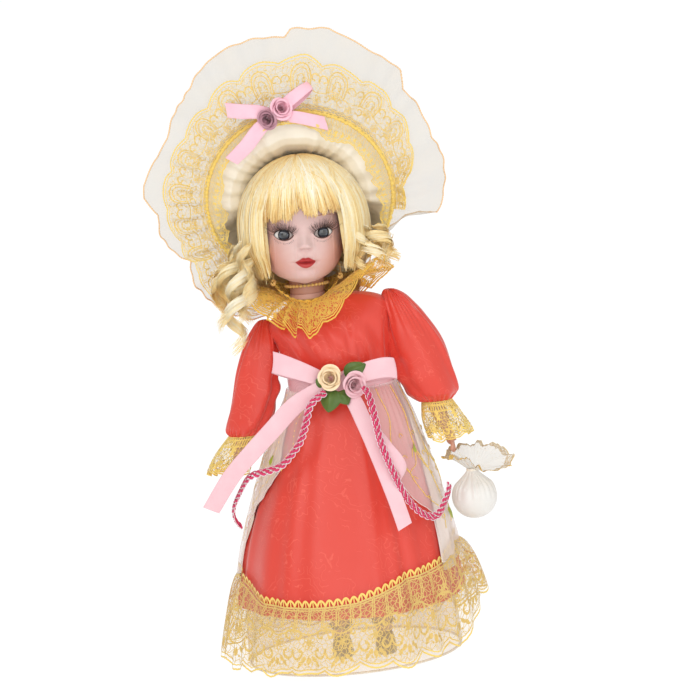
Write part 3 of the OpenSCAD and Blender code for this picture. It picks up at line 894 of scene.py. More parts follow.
def build_eyes():
    for sgn, node in ((1, "eye_left"), (-1, "eye_right")):
        nr, na = 84, 160
        r = np.linspace(0.0, 1.0, nr) ** 0.9 * (pi / 2)
        a = np.arange(na) * 2 * pi / na
        R = 8.4
        rad = 6.1 * np.sin(r)
        bulge = 0.55 * np.clip(1 - (rad / 4.2) ** 2, 0, 1)
        w0 = face_w(np.array([EYE_U]), np.array([EYE_V + 0.5]))[0] - 1.15 - R
        u = sgn * EYE_U + 0.15 + np.outer(rad, np.cos(a))
        v = EYE_V + 0.15 + np.outer(rad, np.sin(a))
        w = w0 + (np.sqrt(R * R - rad ** 2) + bulge)[:, None] + 0 * u
        # the glass follows the socket, turned a little outwards
        w = w - 0.13 * sgn * (u - sgn * EYE_U)
        P = head_to_doll(u, v, w)
        A = np.broadcast_to(a[None, :], u.shape)
        Rd = np.broadcast_to(rad[:, None], u.shape)
        rg = np.random.default_rng(3 + sgn)
        f = np.zeros(na)
        for k in (9, 17, 31, 47, 63):
            f += np.sin(k * a + rg.uniform(0, 6)) / 2.6
        fib = 0.5 + 0.22 * f[None, :] * np.clip((Rd - 1.2) / 1.0, 0, 1)
        dark = np.array(lin((24, 27, 32))[:3])
        mid = np.array(lin((42, 48, 56))[:3])
        lite = np.array(lin((86, 98, 112))[:3])
        wht = np.array(lin((246, 243, 238))[:3])
        blk = np.array(lin((10, 10, 12))[:3])
        C = np.broadcast_to(mid, u.shape + (3,)).copy()

        def mx(C, c, t):
            return C * (1 - t[..., None]) + c * t[..., None]
        C = mx(C, lite, np.clip(fib * gau(Rd - 2.15, 0.45), 0, 1))
        C = mx(C, dark, np.clip((1 - fib) * 0.7, 0, 1) * (Rd > 1.0))
        C = mx(C, blk, 1 - sstep(Rd, 1.25, 1.5))
        C = mx(C, dark, 0.7 * gau(Rd - 1.55, 0.2))
        C = mx(C, blk, sstep(Rd, 2.7, 3.05))
        C = mx(C, wht, sstep(Rd, 3.35, 3.6))
        b = Bag()
        b.add(P.reshape(-1, 3), gridfaces(nr, na, True), C.reshape(-1, 3))
        ob = b.obj("glass_" + node, EYE)
        put(ob, "head", [node], "eye_glass")
        # a lid line and lashes
        lb = Bag()
        ink = np.array(lin((26, 18, 16))[:3])
        brown = np.array(lin((66, 44, 36))[:3])
        x = np.linspace(-EYE_A, EYE_A, 60)
        up, lo = lids(x)

        def edge(xx, yy, off=0.0):
            uu = sgn * EYE_U + xx
            v_ = EYE_V + yy + 0.05 * xx * sgn
            return uu, v_, face_w(uu, v_) + off
        for yy, th in ((up, 0.34), (-lo, 0.2)):
            lb.tube(head_to_doll(*edge(x, yy, 0.12)), th * (0.5 + 0.5 * np.sin(np.linspace(0.1, pi - 0.1, 60))), 6, ink)
        rr = np.random.default_rng(11 + sgn)
        for row in range(2):
            for t in np.linspace(0.02, 0.98, 44):
                t = t + rr.normal(0, 0.008)
                xx = -EYE_A + 2 * EYE_A * t
                q = lids(np.array([xx]))[0][0]
                outer = sgn * xx / EYE_A
                L = (4.9 + 1.2 * max(outer, -0.2) + rr.uniform(-1.2, 1.4)) * (1.0 - 0.16 * row)
                fan = (xx / EYE_A) * 0.95 + rr.normal(0, 0.16)
                s = np.linspace(0, 1, 7)
                du = L * s * np.sin(fan) + sgn * 0.35 * s ** 2 * L * 0.4
                dv = L * (0.15 * s + 0.85 * s ** 1.5) * np.cos(fan)
                dw = 0.25 + L * (0.62 * s - 0.18 * s ** 2)
                uu, v_, w_ = edge(np.array([xx]), np.array([q]))
                P = head_to_doll(uu + du, v_ + dv, w_ + dw)
                c = ink * (0.7) + brown * rr.uniform(0.0, 0.7)
                lb.tube(P, 0.078 * (1 - 0.75 * s) + 0.012, 3, c)
        for t in np.linspace(0.08, 0.96, 15):
            xx = -EYE_A + 2 * EYE_A * t
            q = -lids(np.array([xx]))[1][0]
            L = 1.9 + rr.uniform(-0.2, 0.5)
            fan = (xx / EYE_A) * 0.7
            s = np.linspace(0, 1, 6)
            uu = sgn * EYE_U + xx + L * s * np.sin(fan)
            v_ = EYE_V + q + 0.05 * xx * sgn - 0.1 - L * s * np.cos(fan)
            P = head_to_doll(uu, v_, face_w(uu, v_) + 0.07)
            Nn = head_to_doll(0, 0, 1) - head_to_doll(0, 0, 0)
            lb.strip(P, Nn, 0.26 * (1 - 0.8 * s) + 0.04, 0, ink)
        # brow: short fine strokes
        for t in np.linspace(0, 1, 60):
            uu0 = sgn * (6.4 + 11.5 * t)
            v0 = 7.6 + 2.2 * math.sin(pi * (0.18 + 0.62 * t)) + rr.normal(0, 0.18)
            s = np.linspace(0, 1, 5)
            uu = uu0 + sgn * 1.7 * s
            v_ = v0 + (0.55 - 1.1 * t) * s
            P = head_to_doll(uu, v_, face_w(uu, v_) + 0.06)
            lb.strip(P, head_to_doll(0, 0, 1) - head_to_doll(0, 0, 0), 0.13 * (1 - 0.7 * s), 0, np.array(lin((176, 122, 92))[:3]))
        ob = lb.obj("lashes_" + node, LASH)
        put(ob, "head")


build_eyes()

# ================================================================== HAIR
HC = np.array([-0.3, 0.5, 257.6])
HR = np.array([38.8, 35.0, 41.0])
BL = [np.array(lin(c)[:3]) for c in ((255, 250, 232), (255, 242, 206), (253, 230, 170), (244, 208, 132), (222, 172, 100))]


def hair_col(t):
    t = np.clip(t, 0, 0.9999) * (len(BL) - 1)
    i = int(t)
    return BL[i] * (1 - (t - i)) + BL[i + 1] * (t - i)


def ell(az, psi, k=1.0):
    """Point on the hair volume: az from +X towards +Y, psi down from the top."""
    R = HR * k
    return HC + np.stack([R[0] * np.sin(psi) * np.cos(az), R[1] * np.sin(psi) * np.sin(az), R[2] * np.cos(psi)], -1)


def hair_limits(az):
    """Where hair at azimuth az stops: 'f' is how far it is a fringe (1) or a side lock (0)."""
    d = math.degrees(az) % 360
    dd = abs((d - 270 + 180) % 360 - 180)
    return 1 - float(sstep(dd, 36, 44))


def strand(az0, az, k, psi0, rr, fringe):
    """One fibre from the crown to its tip."""
    if fringe > 0.5:
        dd = abs((math.degrees(az) - 270 + 180) % 360 - 180)
        # tips end level above the eyes, with a small gap in the middle
        gap = 8.0 * math.exp(-((math.degrees(az) - 267.2) / 3.2) ** 2)
        side = math.degrees(az) - 270
        zend = 266.4 + 0.045 * side + gap + rr.normal(0, 1.1) + 1.2 * math.sin(side * 0.55) + (rr.exponential(2.2) if rr.random() < 0.25 else 0.0)
        n = 16
        s = np.linspace(0, 1, n)
        pe = math.acos(np.clip((zend - HC[2]) / (HR[2] * k), -1, 1))
        psi = psi0 + (pe - psi0) * s
        a = az0 + (az - az0) * sstep(s, 0, 0.55)
        P = ell(a, psi, k)
        # the fringe leans off the volume and bends in to the brow
        P[:, 1] += -1.2 * np.sin(pi * s) + 2.2 * sstep(s, 0.6, 1.0)
        P[:, 0] += rr.normal(0, 0.7) * s ** 2 + 0.9 * math.sin(side * 0.8) * s ** 3
        return P
    n = 26
    s = np.linspace(0, 1, n)
    d = math.degrees(az) % 360
    back = math.sin(az)
    zend = 232 + 3 * max(0, -back) + rr.normal(0, 2.2) - 18 * float(sstep(back, 0.0, 0.4))
    pe = math.radians(92)
    sa = 0.62
    psi = psi0 + (pe - psi0) * np.clip(s / sa, 0, 1)
    a = az0 + (az - az0) * sstep(s, 0, 0.45)
    P = ell(a, psi, k)
    hang = np.clip((s - sa) / (1 - sa), 0, 1)
    zb = P[:, 2]
    P[:, 2] = zb - (zb[-1] - zend) * hang
    # ends turn in under the jaw
    turn = sstep(hang, 0.35, 1.0)
    near = float(gau(math.degrees(az) % 360 - 228, 13) + gau(math.degrees(az) % 360 - 312, 13))
    P[:, 0] += -np.cos(az) * (8.5 - 5.5 * near) * turn
    P[:, 1] += -np.sin(az) * 4.5 * turn
    w = rr.uniform(0, 6)
    P[:, 0] += 0.35 * np.sin(w + 9 * s) * s
    P[:, 1] += 0.35 * np.cos(w + 8 * s) * s
    return P


def hair_normal(P):
    N = (P - HC) / HR ** 2
    return N / (np.linalg.norm(N, axis=1, keepdims=True) + 1e-9)


def build_hair():
    rr = np.random.default_rng(21)
    # under layer: a thick cap with the same outline
    b = Bag()
    na, ns = 160, 34
    rows = []
    for i in range(na):
        az = 2 * pi * i / na
        f = hair_limits(az)
        P = strand(az, az, 0.93, 0.03, np.random.default_rng(5), f)
        s = np.linspace(0, 1, len(P))
        Q = np.stack([np.interp(np.linspace(0, 0.955, ns), s, P[:, k]) for k in range(3)], -1)
        rows.append(Q)
    G = np.array(rows).transpose(1, 0, 2)
    t = 0.5 + 0.2 * np.sin(np.arange(na) * 1.7)[None, :, None] + np.zeros((ns, na, 1))
    C = BL[2] * (1 - t * 0.6) + BL[3] * (t * 0.6)
    b.add(G.reshape(-1, 3), gridfaces(ns, na, True, True), C.reshape(-1, 3))
    ob = b.obj("wig_base_hair", HAIR)
    put(ob, "head", ["wig_cap"], "wig_hair")
    # fibres: from the part (a short line on top) outwards
    b1, b2 = Bag(), Bag()
    N1, N2 = 2300, 3900
    for i in range(N1 + N2):
        fr = i < N1
        if fr:
            az = math.radians(270 + rr.uniform(-43, 43))
        else:
            x = rr.uniform(-1, 1)
            az = math.radians(90 + 142 * np.sign(x) * abs(x) ** 0.8)
        k = 0.95 + 0.055 * rr.beta(2, 1.4)
        psi0 = math.radians(rr.uniform(1, 13) if not fr else rr.uniform(2, 34))
        a0 = az + rr.normal(0, 0.22)
        P = strand(a0, az, k, psi0, rr, 1.0 if fr else 0.0)
        s = np.linspace(0, 1, len(P))
        clump = 0.5 + 0.5 * math.sin(az * 37 + 2.1 * math.sin(az * 11)) * math.sin(az * 13 + 1)
        # painted light in the fibre colour: fibres lying deeper in the volume (smaller k) are painted darker as painted
        # shade, and each fibre is palest over the crown and darker at its root and towards its tip, a painted highlight
        # on top of the head; clump and the random term vary the tone
        t0 = 0.10 + 0.40 * clump + rr.normal(0, 0.15) + 4.0 * (1.0 - k)
        c = np.array([hair_col(np.clip(t0 + 0.55 * (1 - q) ** 5 + (1.0 if fr else 0.6) * max(0, q - (0.5 if fr else 0.35)), 0, 1)) for q in s])
        w = rr.uniform(0.34, 0.62) * (0.35 + 0.65 * np.sin(pi * np.clip(s * 0.93 + 0.05, 0, 1)) ** 0.5)
        (b1 if fr else b2).strip(P, hair_normal(P), w, 0.1, c)
    put(b1.obj("wig_fringe_hair", HAIR), "head", ["wig_bangs"], "wig_hair")
    put(b2.obj("wig_side_hair", HAIR), "head", ["wig_back"], "wig_hair")


def curl(b, rr, pts, r0, turns, phase, hand=1, tone=0.35, count=96, thick=1.9, width=7.0):
    """A loose lock: many fibres wound together round a falling axis, frayed at the tip."""
    n = int(22 * turns) + 20
    Q = catmull(pts, 16)
    d = np.concatenate([[0], np.cumsum(np.linalg.norm(np.diff(Q, axis=0), axis=1))])
    x = np.linspace(0, d[-1], n)
    A = np.stack([np.interp(x, d, Q[:, k]) for k in range(3)], -1)
    T = np.gradient(A, axis=0)
    T /= np.linalg.norm(T, axis=1, keepdims=True)
    e1 = np.cross(T, [0.05, 1, 0.1])
    e1 /= np.linalg.norm(e1, axis=1, keepdims=True)
    e2 = np.cross(T, e1)
    base = np.linspace(0, 1, n)
    for i in range(count):
        stray = rr.random() < 0.10
        ou = rr.normal(0, 0.42) * thick * (2.2 if stray else 1.0)
        ov = rr.uniform(-0.5, 0.5) * width
        end = 1 - 0.24 * rr.random() ** 2
        s = base * end
        th = phase + hand * 2 * pi * turns * s ** 1.06 + rr.normal(0, 0.13) + 0.22 * np.sin(s * 5 + rr.uniform(0, 6)) * s
        rad = (r0 * (0.30 + 0.70 * sstep(s, 0, 0.28)) * (1 - 0.30 * s ** 2) + ou * (0.4 + 0.6 * s)
               + 0.45 * np.sin(s * 8 + rr.uniform(0, 6)) - 0.9 * (2 * ov / width) ** 2)
        i0 = s * (n - 1)
        k = np.minimum(i0.astype(int), n - 2)
        f = (i0 - k)[:, None]
        Ai, Ti = A[k] * (1 - f) + A[k + 1] * f, T[k] * (1 - f) + T[k + 1] * f
        E1, E2 = e1[k] * (1 - f) + e1[k + 1] * f, e2[k] * (1 - f) + e2[k + 1] * f
        R = rad[:, None] * (np.cos(th)[:, None] * E1 + np.sin(th)[:, None] * E2)
        P = Ai + R + Ti * (ov * sstep(s, 0, 0.25))[:, None]
        Nn = R / (np.linalg.norm(R, axis=1, keepdims=True) + 1e-9)
        # painted light in the lock's colour: fibres on the outside of the curl are painted paler as a painted highlight
        # and those inside darker as painted shade; fibres towards the lock's edges are darker too
        t0 = tone + rr.normal(0, 0.10) + 0.14 * abs(2 * ov / width) - 0.10 * ou / thick
        c = np.array([hair_col(np.clip(t0 + 0.08 * math.sin(7 * q + phase) + 0.12 * q, 0, 1)) for q in s])
        w = width / count * 4.4 * (0.25 + 0.75 * np.sin(pi * np.clip(0.05 + 0.94 * base, 0, 1)) ** 0.5) * rr.uniform(0.7, 1.25)
        b.strip(P, Nn, np.clip(w, 0.05, 0.5), 0.07, c)


def build_ringlets():
    rr = np.random.default_rng(33)
    b = Bag()
    R = [
        (((-33, -19, 252), (-36, -25, 238), (-37, -27, 222)), 4.6, 1.3, 0.5, 0.34),
        (((-37, -13, 252), (-42, -21, 232), (-44, -25, 208)), 5.8, 1.9, 2.0, 0.22),
        (((-40, -5, 250), (-48, -16, 228), (-51, -20, 203)), 6.4, 1.9, 4.0, 0.30),
        (((-38, -11, 242), (-44, -21, 216), (-46, -25, 190)), 6.6, 2.2, 1.0, 0.16),
        (((-41, 2, 248), (-51, -4, 228), (-56, -8, 208)), 6.0, 1.7, 3.0, 0.40),
        (((-40, 8, 246), (-50, 6, 230), (-54, 4, 214)), 5.6, 1.5, 5.0, 0.5),
        (((-36, 14, 243), (-42, 16, 228), (-44, 16, 212)), 5.4, 1.5, 1.5, 0.55),
        (((-36, -8, 250), (-41, -12, 234), (-44, -13, 214)), 6.0, 1.8, 0.2, 0.42),
        (((-33, -12, 246), (-36, -16, 230), (-39, -18, 206)), 5.6, 2.0, 5.6, 0.36),
    ]
    for pts, r0, tn, ph, tone in R:
        curl(b, rr, pts, r0, tn, ph, 1, tone)
    ob = b.obj("ringlets_right_hair", HAIR)
    put(ob, "head", ["ringlet_right"], "wig_hair")
    b = Bag()
    R = [
        (((29, -18, 252), (31, -20, 243), (32, -19, 232)), 4.4, 1.2, 2.5, 0.38),
        (((33, -15, 254), (38, -18, 244), (40, -18, 232)), 5.2, 1.3, 0.3, 0.28),
        (((37, -9, 254), (44, -13, 244), (48, -13, 232)), 5.6, 1.3, 4.2, 0.34),
        (((39, -1, 252), (47, -4, 242), (50, -4, 232)), 5.6, 1.2, 1.2, 0.45),
        (((39, 6, 248), (45, 9, 239), (48, 10, 228)), 5.2, 1.3, 3.2, 0.5),
        (((30, 17, 243), (33, 21, 232), (34, 23, 219)), 5.2, 1.7, 3.2, 0.5),
        (((18, 23, 242), (20, 25, 228), (20, 26, 214)), 5.2, 1.8, 1.2, 0.5),
        (((5, 25, 242), (5, 27, 228), (5, 27, 213)), 5.2, 1.8, 4.2, 0.45),
        (((-9, 25, 242), (-10, 27, 228), (-10, 27, 214)), 5.2, 1.8, 0.2, 0.5),
        (((-24, 21, 242), (-26, 23, 228), (-26, 23, 214)), 5.2, 1.8, 2.2, 0.5),
    ]
    for pts, r0, tn, ph, tone in R:
        curl(b, rr, pts, r0, tn, ph, -1, tone, 80)
    ob = b.obj("ringlets_left_hair", HAIR)
    put(ob, "head", ["ringlet_left"], "wig_hair")


build_hair()
build_ringlets()

# ================================================================== LACE
def pnoise(a, seed, lo=2, hi=9, p=0.6):
    """Smooth periodic noise of an angle, about -1..1."""
    r = np.random.default_rng(seed)
    a = np.asarray(a, float)
    out, tot = np.zeros_like(a), 0.0
    for k in range(lo, hi + 1):
        w = (1.0 / k) ** p * r.uniform(0.5, 1.0)
        out = out + w * np.sin(k * a + r.uniform(0, 2 * pi))
        tot += w * w
    return out / math.sqrt(tot) / 1.5


def pleats(a, n, seed, warp=0.35, sharp=1.0):
    """Irregular folds round a ring: n of them, -1..1."""
    a = np.asarray(a, float)
    ph = n * a + warp * n * 0.35 * pnoise(a, seed, 2, 6) + pnoise(a, seed + 1, 1, 3) * 2
    c = np.cos(ph)
    amp = 0.72 + 0.28 * pnoise(a, seed + 2, 3, 9)
    return amp * np.sign(c) * np.abs(c) ** sharp


def normals(surf, a, t, ea=2e-3, et=2e-3):
    A = surf(a + ea, t) - surf(a - ea, t)
    T = surf(a, np.clip(t + et, 0, 1)) - surf(a, np.clip(t - et, 0, 1))
    N = np.cross(A, T)
    return N / (np.linalg.norm(N, axis=1, keepdims=True) + 1e-12)


class Lace:
    """Draws a lace pattern (s along, t across, millimetres) onto surf(angle, 0..1)."""
    def __init__(self, bag, surf, a0, a1, L, H, seed, off=0.25, flip=1.0):
        self.b, self.surf, self.a0, self.a1, self.L, self.H = bag, surf, a0, a1, L, H
        self.r = np.random.default_rng(seed)
        self.off, self.flip, self.k = off, flip, 1.0

    def line(self, s, t, w, col=None, lift=0.0, h=0.12):
        s, t = np.atleast_1d(s).astype(float), np.atleast_1d(t).astype(float)
        ok = (s >= -0.01) & (s <= self.L + 0.01) & (t >= 0) & (t <= self.H * 1.001)
        if not ok.all():
            # keep the longest run inside the strip
            idx = np.where(ok)[0]
            if len(idx) < 3:
                return
            brk = np.where(np.diff(idx) > 1)[0]
            parts = np.split(idx, brk + 1)
            p = max(parts, key=len)
            if len(p) < 3:
                return
            if np.ndim(w):
                w = np.asarray(w)[p]
            s, t = s[p], t[p]
        a = self.a0 + (self.a1 - self.a0) * s / self.L
        q = np.clip(t / self.H, 0, 1)
        P = self.surf(a, q)
        N = normals(self.surf, a, q) * self.flip
        self.b.strip(P + N * (self.off + lift), N, np.asarray(w) * self.k, h, col)

    def dot(self, s, t, r):
        x = np.array([-1, -0.45, 0.45, 1.0])
        self.line(s + x * r, np.full(4, t), np.array([0.5, 1.8, 1.8, 0.5]) * r, lift=0.06)

    def petal(self, s, t, th, n, ln, wd, fill=True):
        x = np.linspace(0.1, 1, 6)
        ss, tt = s + ln * x * math.cos(th), t + ln * x * math.sin(th)
        if fill:
            self.line(ss, tt, wd * np.array([0.3, 0.8, 1.0, 1.0, 0.75, 0.2]), lift=0.05, h=0.2)
        else:
            u = np.linspace(0, 2 * pi, 13)
            px, py = ln * 0.55 + ln * 0.45 * np.cos(u), wd * 0.5 * np.sin(u)
            self.line(s + px * math.cos(th) - py * math.sin(th), t + px * math.sin(th) + py * math.cos(th), 0.34, lift=0.05)

    def flower(self, s, t, r, n=6, fill=True):
        ph = self.r.uniform(0, 6)
        r = r * self.r.uniform(0.85, 1.05)
        for k in range(n):
            self.petal(s, t, ph + 2 * pi * k / n, n, r, r * (0.36 if r < 3 else 0.5), fill and r < 3)
        self.dot(s, t, r * 0.16)

    def scroll(self, s, t, r, th0, turn, w=0.8, dots=True):
        u = np.linspace(0, 1, 22)
        th = th0 + turn * u
        rr = r * (1 - 0.72 * u)
        self.line(s + rr * np.cos(th), t + rr * np.sin(th), w * (0.55 + 0.6 * np.sin(pi * u)), lift=0.06, h=0.2)
        if dots:
            self.dot(s + rr[-1] * math.cos(th[-1]), t + rr[-1] * math.sin(th[-1]), w * 0.95)

    def edge_t(self, s, sc, depth):
        return self.H - depth * (1 - np.abs(np.sin(pi * s / sc)) ** 0.8) * (0.8 + 0.2 * np.sin(0.11 * s + 1.0)) - 0.5 - 0.5 * np.sin(0.061 * s + 2.0)

    def edges(self, sc, depth, lines=((0.0, 0.55), (1.9, 0.4)), beads=1.4, inner=True):
        n = int(self.L / 0.55)
        s = np.linspace(0, self.L, n)
        e = self.edge_t(s, sc, depth)
        for o, w in lines:
            self.line(s, e - 0.35 - o + 0.1 * np.sin(s * 2.3 + o), w)
        if beads:
            for x in np.arange(0, self.L, beads):
                self.dot(x, float(self.edge_t(np.array([x]), sc, depth)[0]) - 0.35, 0.42)

    def net(self, cell, row, w, sc, depth, t0=0.0, jitter=0.25, t1=2.2):
        for x in np.arange(cell * 0.5, self.L, cell):
            x = x + self.r.normal(0, jitter * cell * 0.3)
            te = float(self.edge_t(np.array([x]), sc, depth)[0]) - t1
            if te - t0 < 2:
                continue
            m = max(6, int((te - t0) / 1.3))
            t = np.linspace(t0, te, m)
            ph = self.r.uniform(0, 6)
            self.line(x + 0.28 * cell * np.sin(t * 1.1 + ph), t, w)
        k = 0
        t = t0 + row
        while t < self.H - 1.0:
            n = int(self.L / 0.9)
            s = np.linspace(0, self.L, n)
            e = self.edge_t(s, sc, depth) - t1
            tt = t + 0.3 * row * np.sin(s * 2 * pi / (2 * cell) + (pi if k % 2 else 0)) + 0.12 * row * np.sin(s * 0.7 + k)
            ok = tt < e
            i = 0
            while i < n:
                if ok[i]:
                    j = i
                    while j < n and ok[j]:
                        j += 1
                    if j - i > 3:
                        self.line(s[i:j], tt[i:j], w)
                    i = j
                else:
                    i += 1
            k += 1
            t += row


def sheetgrid(surf, a0, a1, na, nt, t0=0.0, t1=1.0, trim=None):
    a, t = np.meshgrid(np.linspace(a0, a1, na), np.linspace(t0, t1, nt), indexing="ij")
    if trim is not None:
        t = t0 + (t - t0) * trim(a)
    P = surf(a.ravel(), t.ravel())
    return P, gridfaces(na, nt)


def ringrow(rows, a, q):
    """Point on lofted rings: q 0..1 over the rows, a the azimuth."""
    R = rows_at(rows, np.asarray(q) * (len(rows) - 1))
    return np.stack([R[:, 0] + R[:, 3] * np.cos(a), R[:, 1] + R[:, 4] * np.sin(a), R[:, 2]], -1)


# ================================================================== HAT
CT, ST = math.cos(math.radians(73)), math.sin(math.radians(73))


def hatp(x, y, z):
    x, y, z = (np.asarray(v, float) for v in (x, y, z))
    return np.stack([-2 + x, 12 + CT * y + ST * z, 276 - ST * y + CT * z], -1)


def px2mm(u, v, y):
    f, s, e = math.radians(6), 0.588, math.radians(8)
    dx, dz = u - 348.0, 655.0 - v
    X = s * (dx * math.cos(f) + dz * math.sin(f))
    Zp = s * (-dx * math.sin(f) + dz * math.cos(f))
    return X, (Zp - y * math.sin(e)) / math.cos(e)


def hat_polar(pts):
    """Outline points (700 frame) on the plane of the brim, as angle (up is 90 deg) and radius."""
    out = []
    for u, v in pts:
        y = 12.0
        for _ in range(5):
            X, Z = px2mm(u, v, y)
            yl = (276 - Z) / ST
            y = 12 + CT * yl
        out.append((math.degrees(math.atan2(-yl, X + 2)) % 360, math.hypot(X + 2, yl)))
    out.sort()
    A = np.radians([o[0] for o in out])
    R = np.array([o[1] for o in out])
    return lambda a: np.interp(np.mod(a, 2 * pi), A, R, period=2 * pi)


BRIM_OUT = hat_polar([(290, 35), (310, 35), (328, 35), (349, 45), (372, 57), (399, 75), (401, 92), (418, 113), (430, 137), (441, 158),
                      (444, 183), (443, 199), (436, 214), (418, 214), (405, 220), (397, 229), (382, 234), (372, 250), (360, 285),
                      (340, 300), (300, 310), (255, 318),
                      (284, 42), (257, 45), (236, 51), (219, 60), (198, 79), (184, 101), (167, 139), (157, 160), (143, 187), (143, 199),
                      (156, 214), (159, 239), (173, 255), (188, 262), (190, 279), (203, 298), (214, 308), (232, 316)])
LACE_OUT = hat_polar([(305, 54), (325, 58), (345, 68), (368, 78), (388, 95), (402, 118), (409, 140), (407, 165), (398, 178),
                      (280, 58), (250, 66), (225, 80), (203, 100), (186, 125), (172, 150), (163, 175), (162, 203), (170, 228), (182, 255), (198, 280), (215, 300)])
RING_R = 55.3


def brim_z(a, t):
    """Height of the brim's sheet off the flat, for t 0 (ring) .. 1 (edge)."""
    z = -1.0 - 2.6 * np.sin(pi * np.clip(t, 0, 1)) * 0.9 + 3.6 * t ** 2
    z = z + pleats(a, 44, 5, 0.5) * 0.9 * (1 - t) ** 1.3 * sstep(t, 0, 0.05)
    z = z + pleats(a, 11, 8, 0.8) * (3.4 * t ** 1.5)
    z = z + pleats(a, 27, 18, 0.9) * (1.5 * t ** 1.1)
    # the lower right of the brim folds back behind the curls
    d = np.mod(a, 2 * pi)
    fold = gau(np.minimum(np.abs(d - math.radians(318)), 2 * pi - np.abs(d - math.radians(318))), math.radians(24))
    z = z + fold * 9.0 * t ** 1.3
    return z


def brim(a, t):
    """a: angle with up at 90 degrees; t 0..1 from ring to edge."""
    R = RING_R + (BRIM_OUT(a) - RING_R) * t + 0.5 * pleats(a, 34, 2, 0.8) * t ** 2
    cx, cy = 1.0 * (1 - t), 4.0 * (1 - t)
    return hatp(cx + R * np.cos(a), cy - R * np.sin(a), brim_z(a, t))


def hat_lace_surf(a, t):
    Rl = np.minimum(LACE_OUT(a), BRIM_OUT(a) - 2.5)
    q = t * (Rl - RING_R) / (BRIM_OUT(a) - RING_R)
    R = RING_R + 0.6 + (Rl - RING_R) * t
    z = brim_z(a, q) - 1.3 - pleats(a, 30, 31, 0.9) * 1.5 * np.sin(pi * np.clip(t, 0, 1)) ** 0.7 - 0.8 * t - 0.5
    cx, cy = 1.0 * (1 - q), 4.0 * (1 - q)
    return hatp(cx + R * np.cos(a), cy - R * np.sin(a), z)


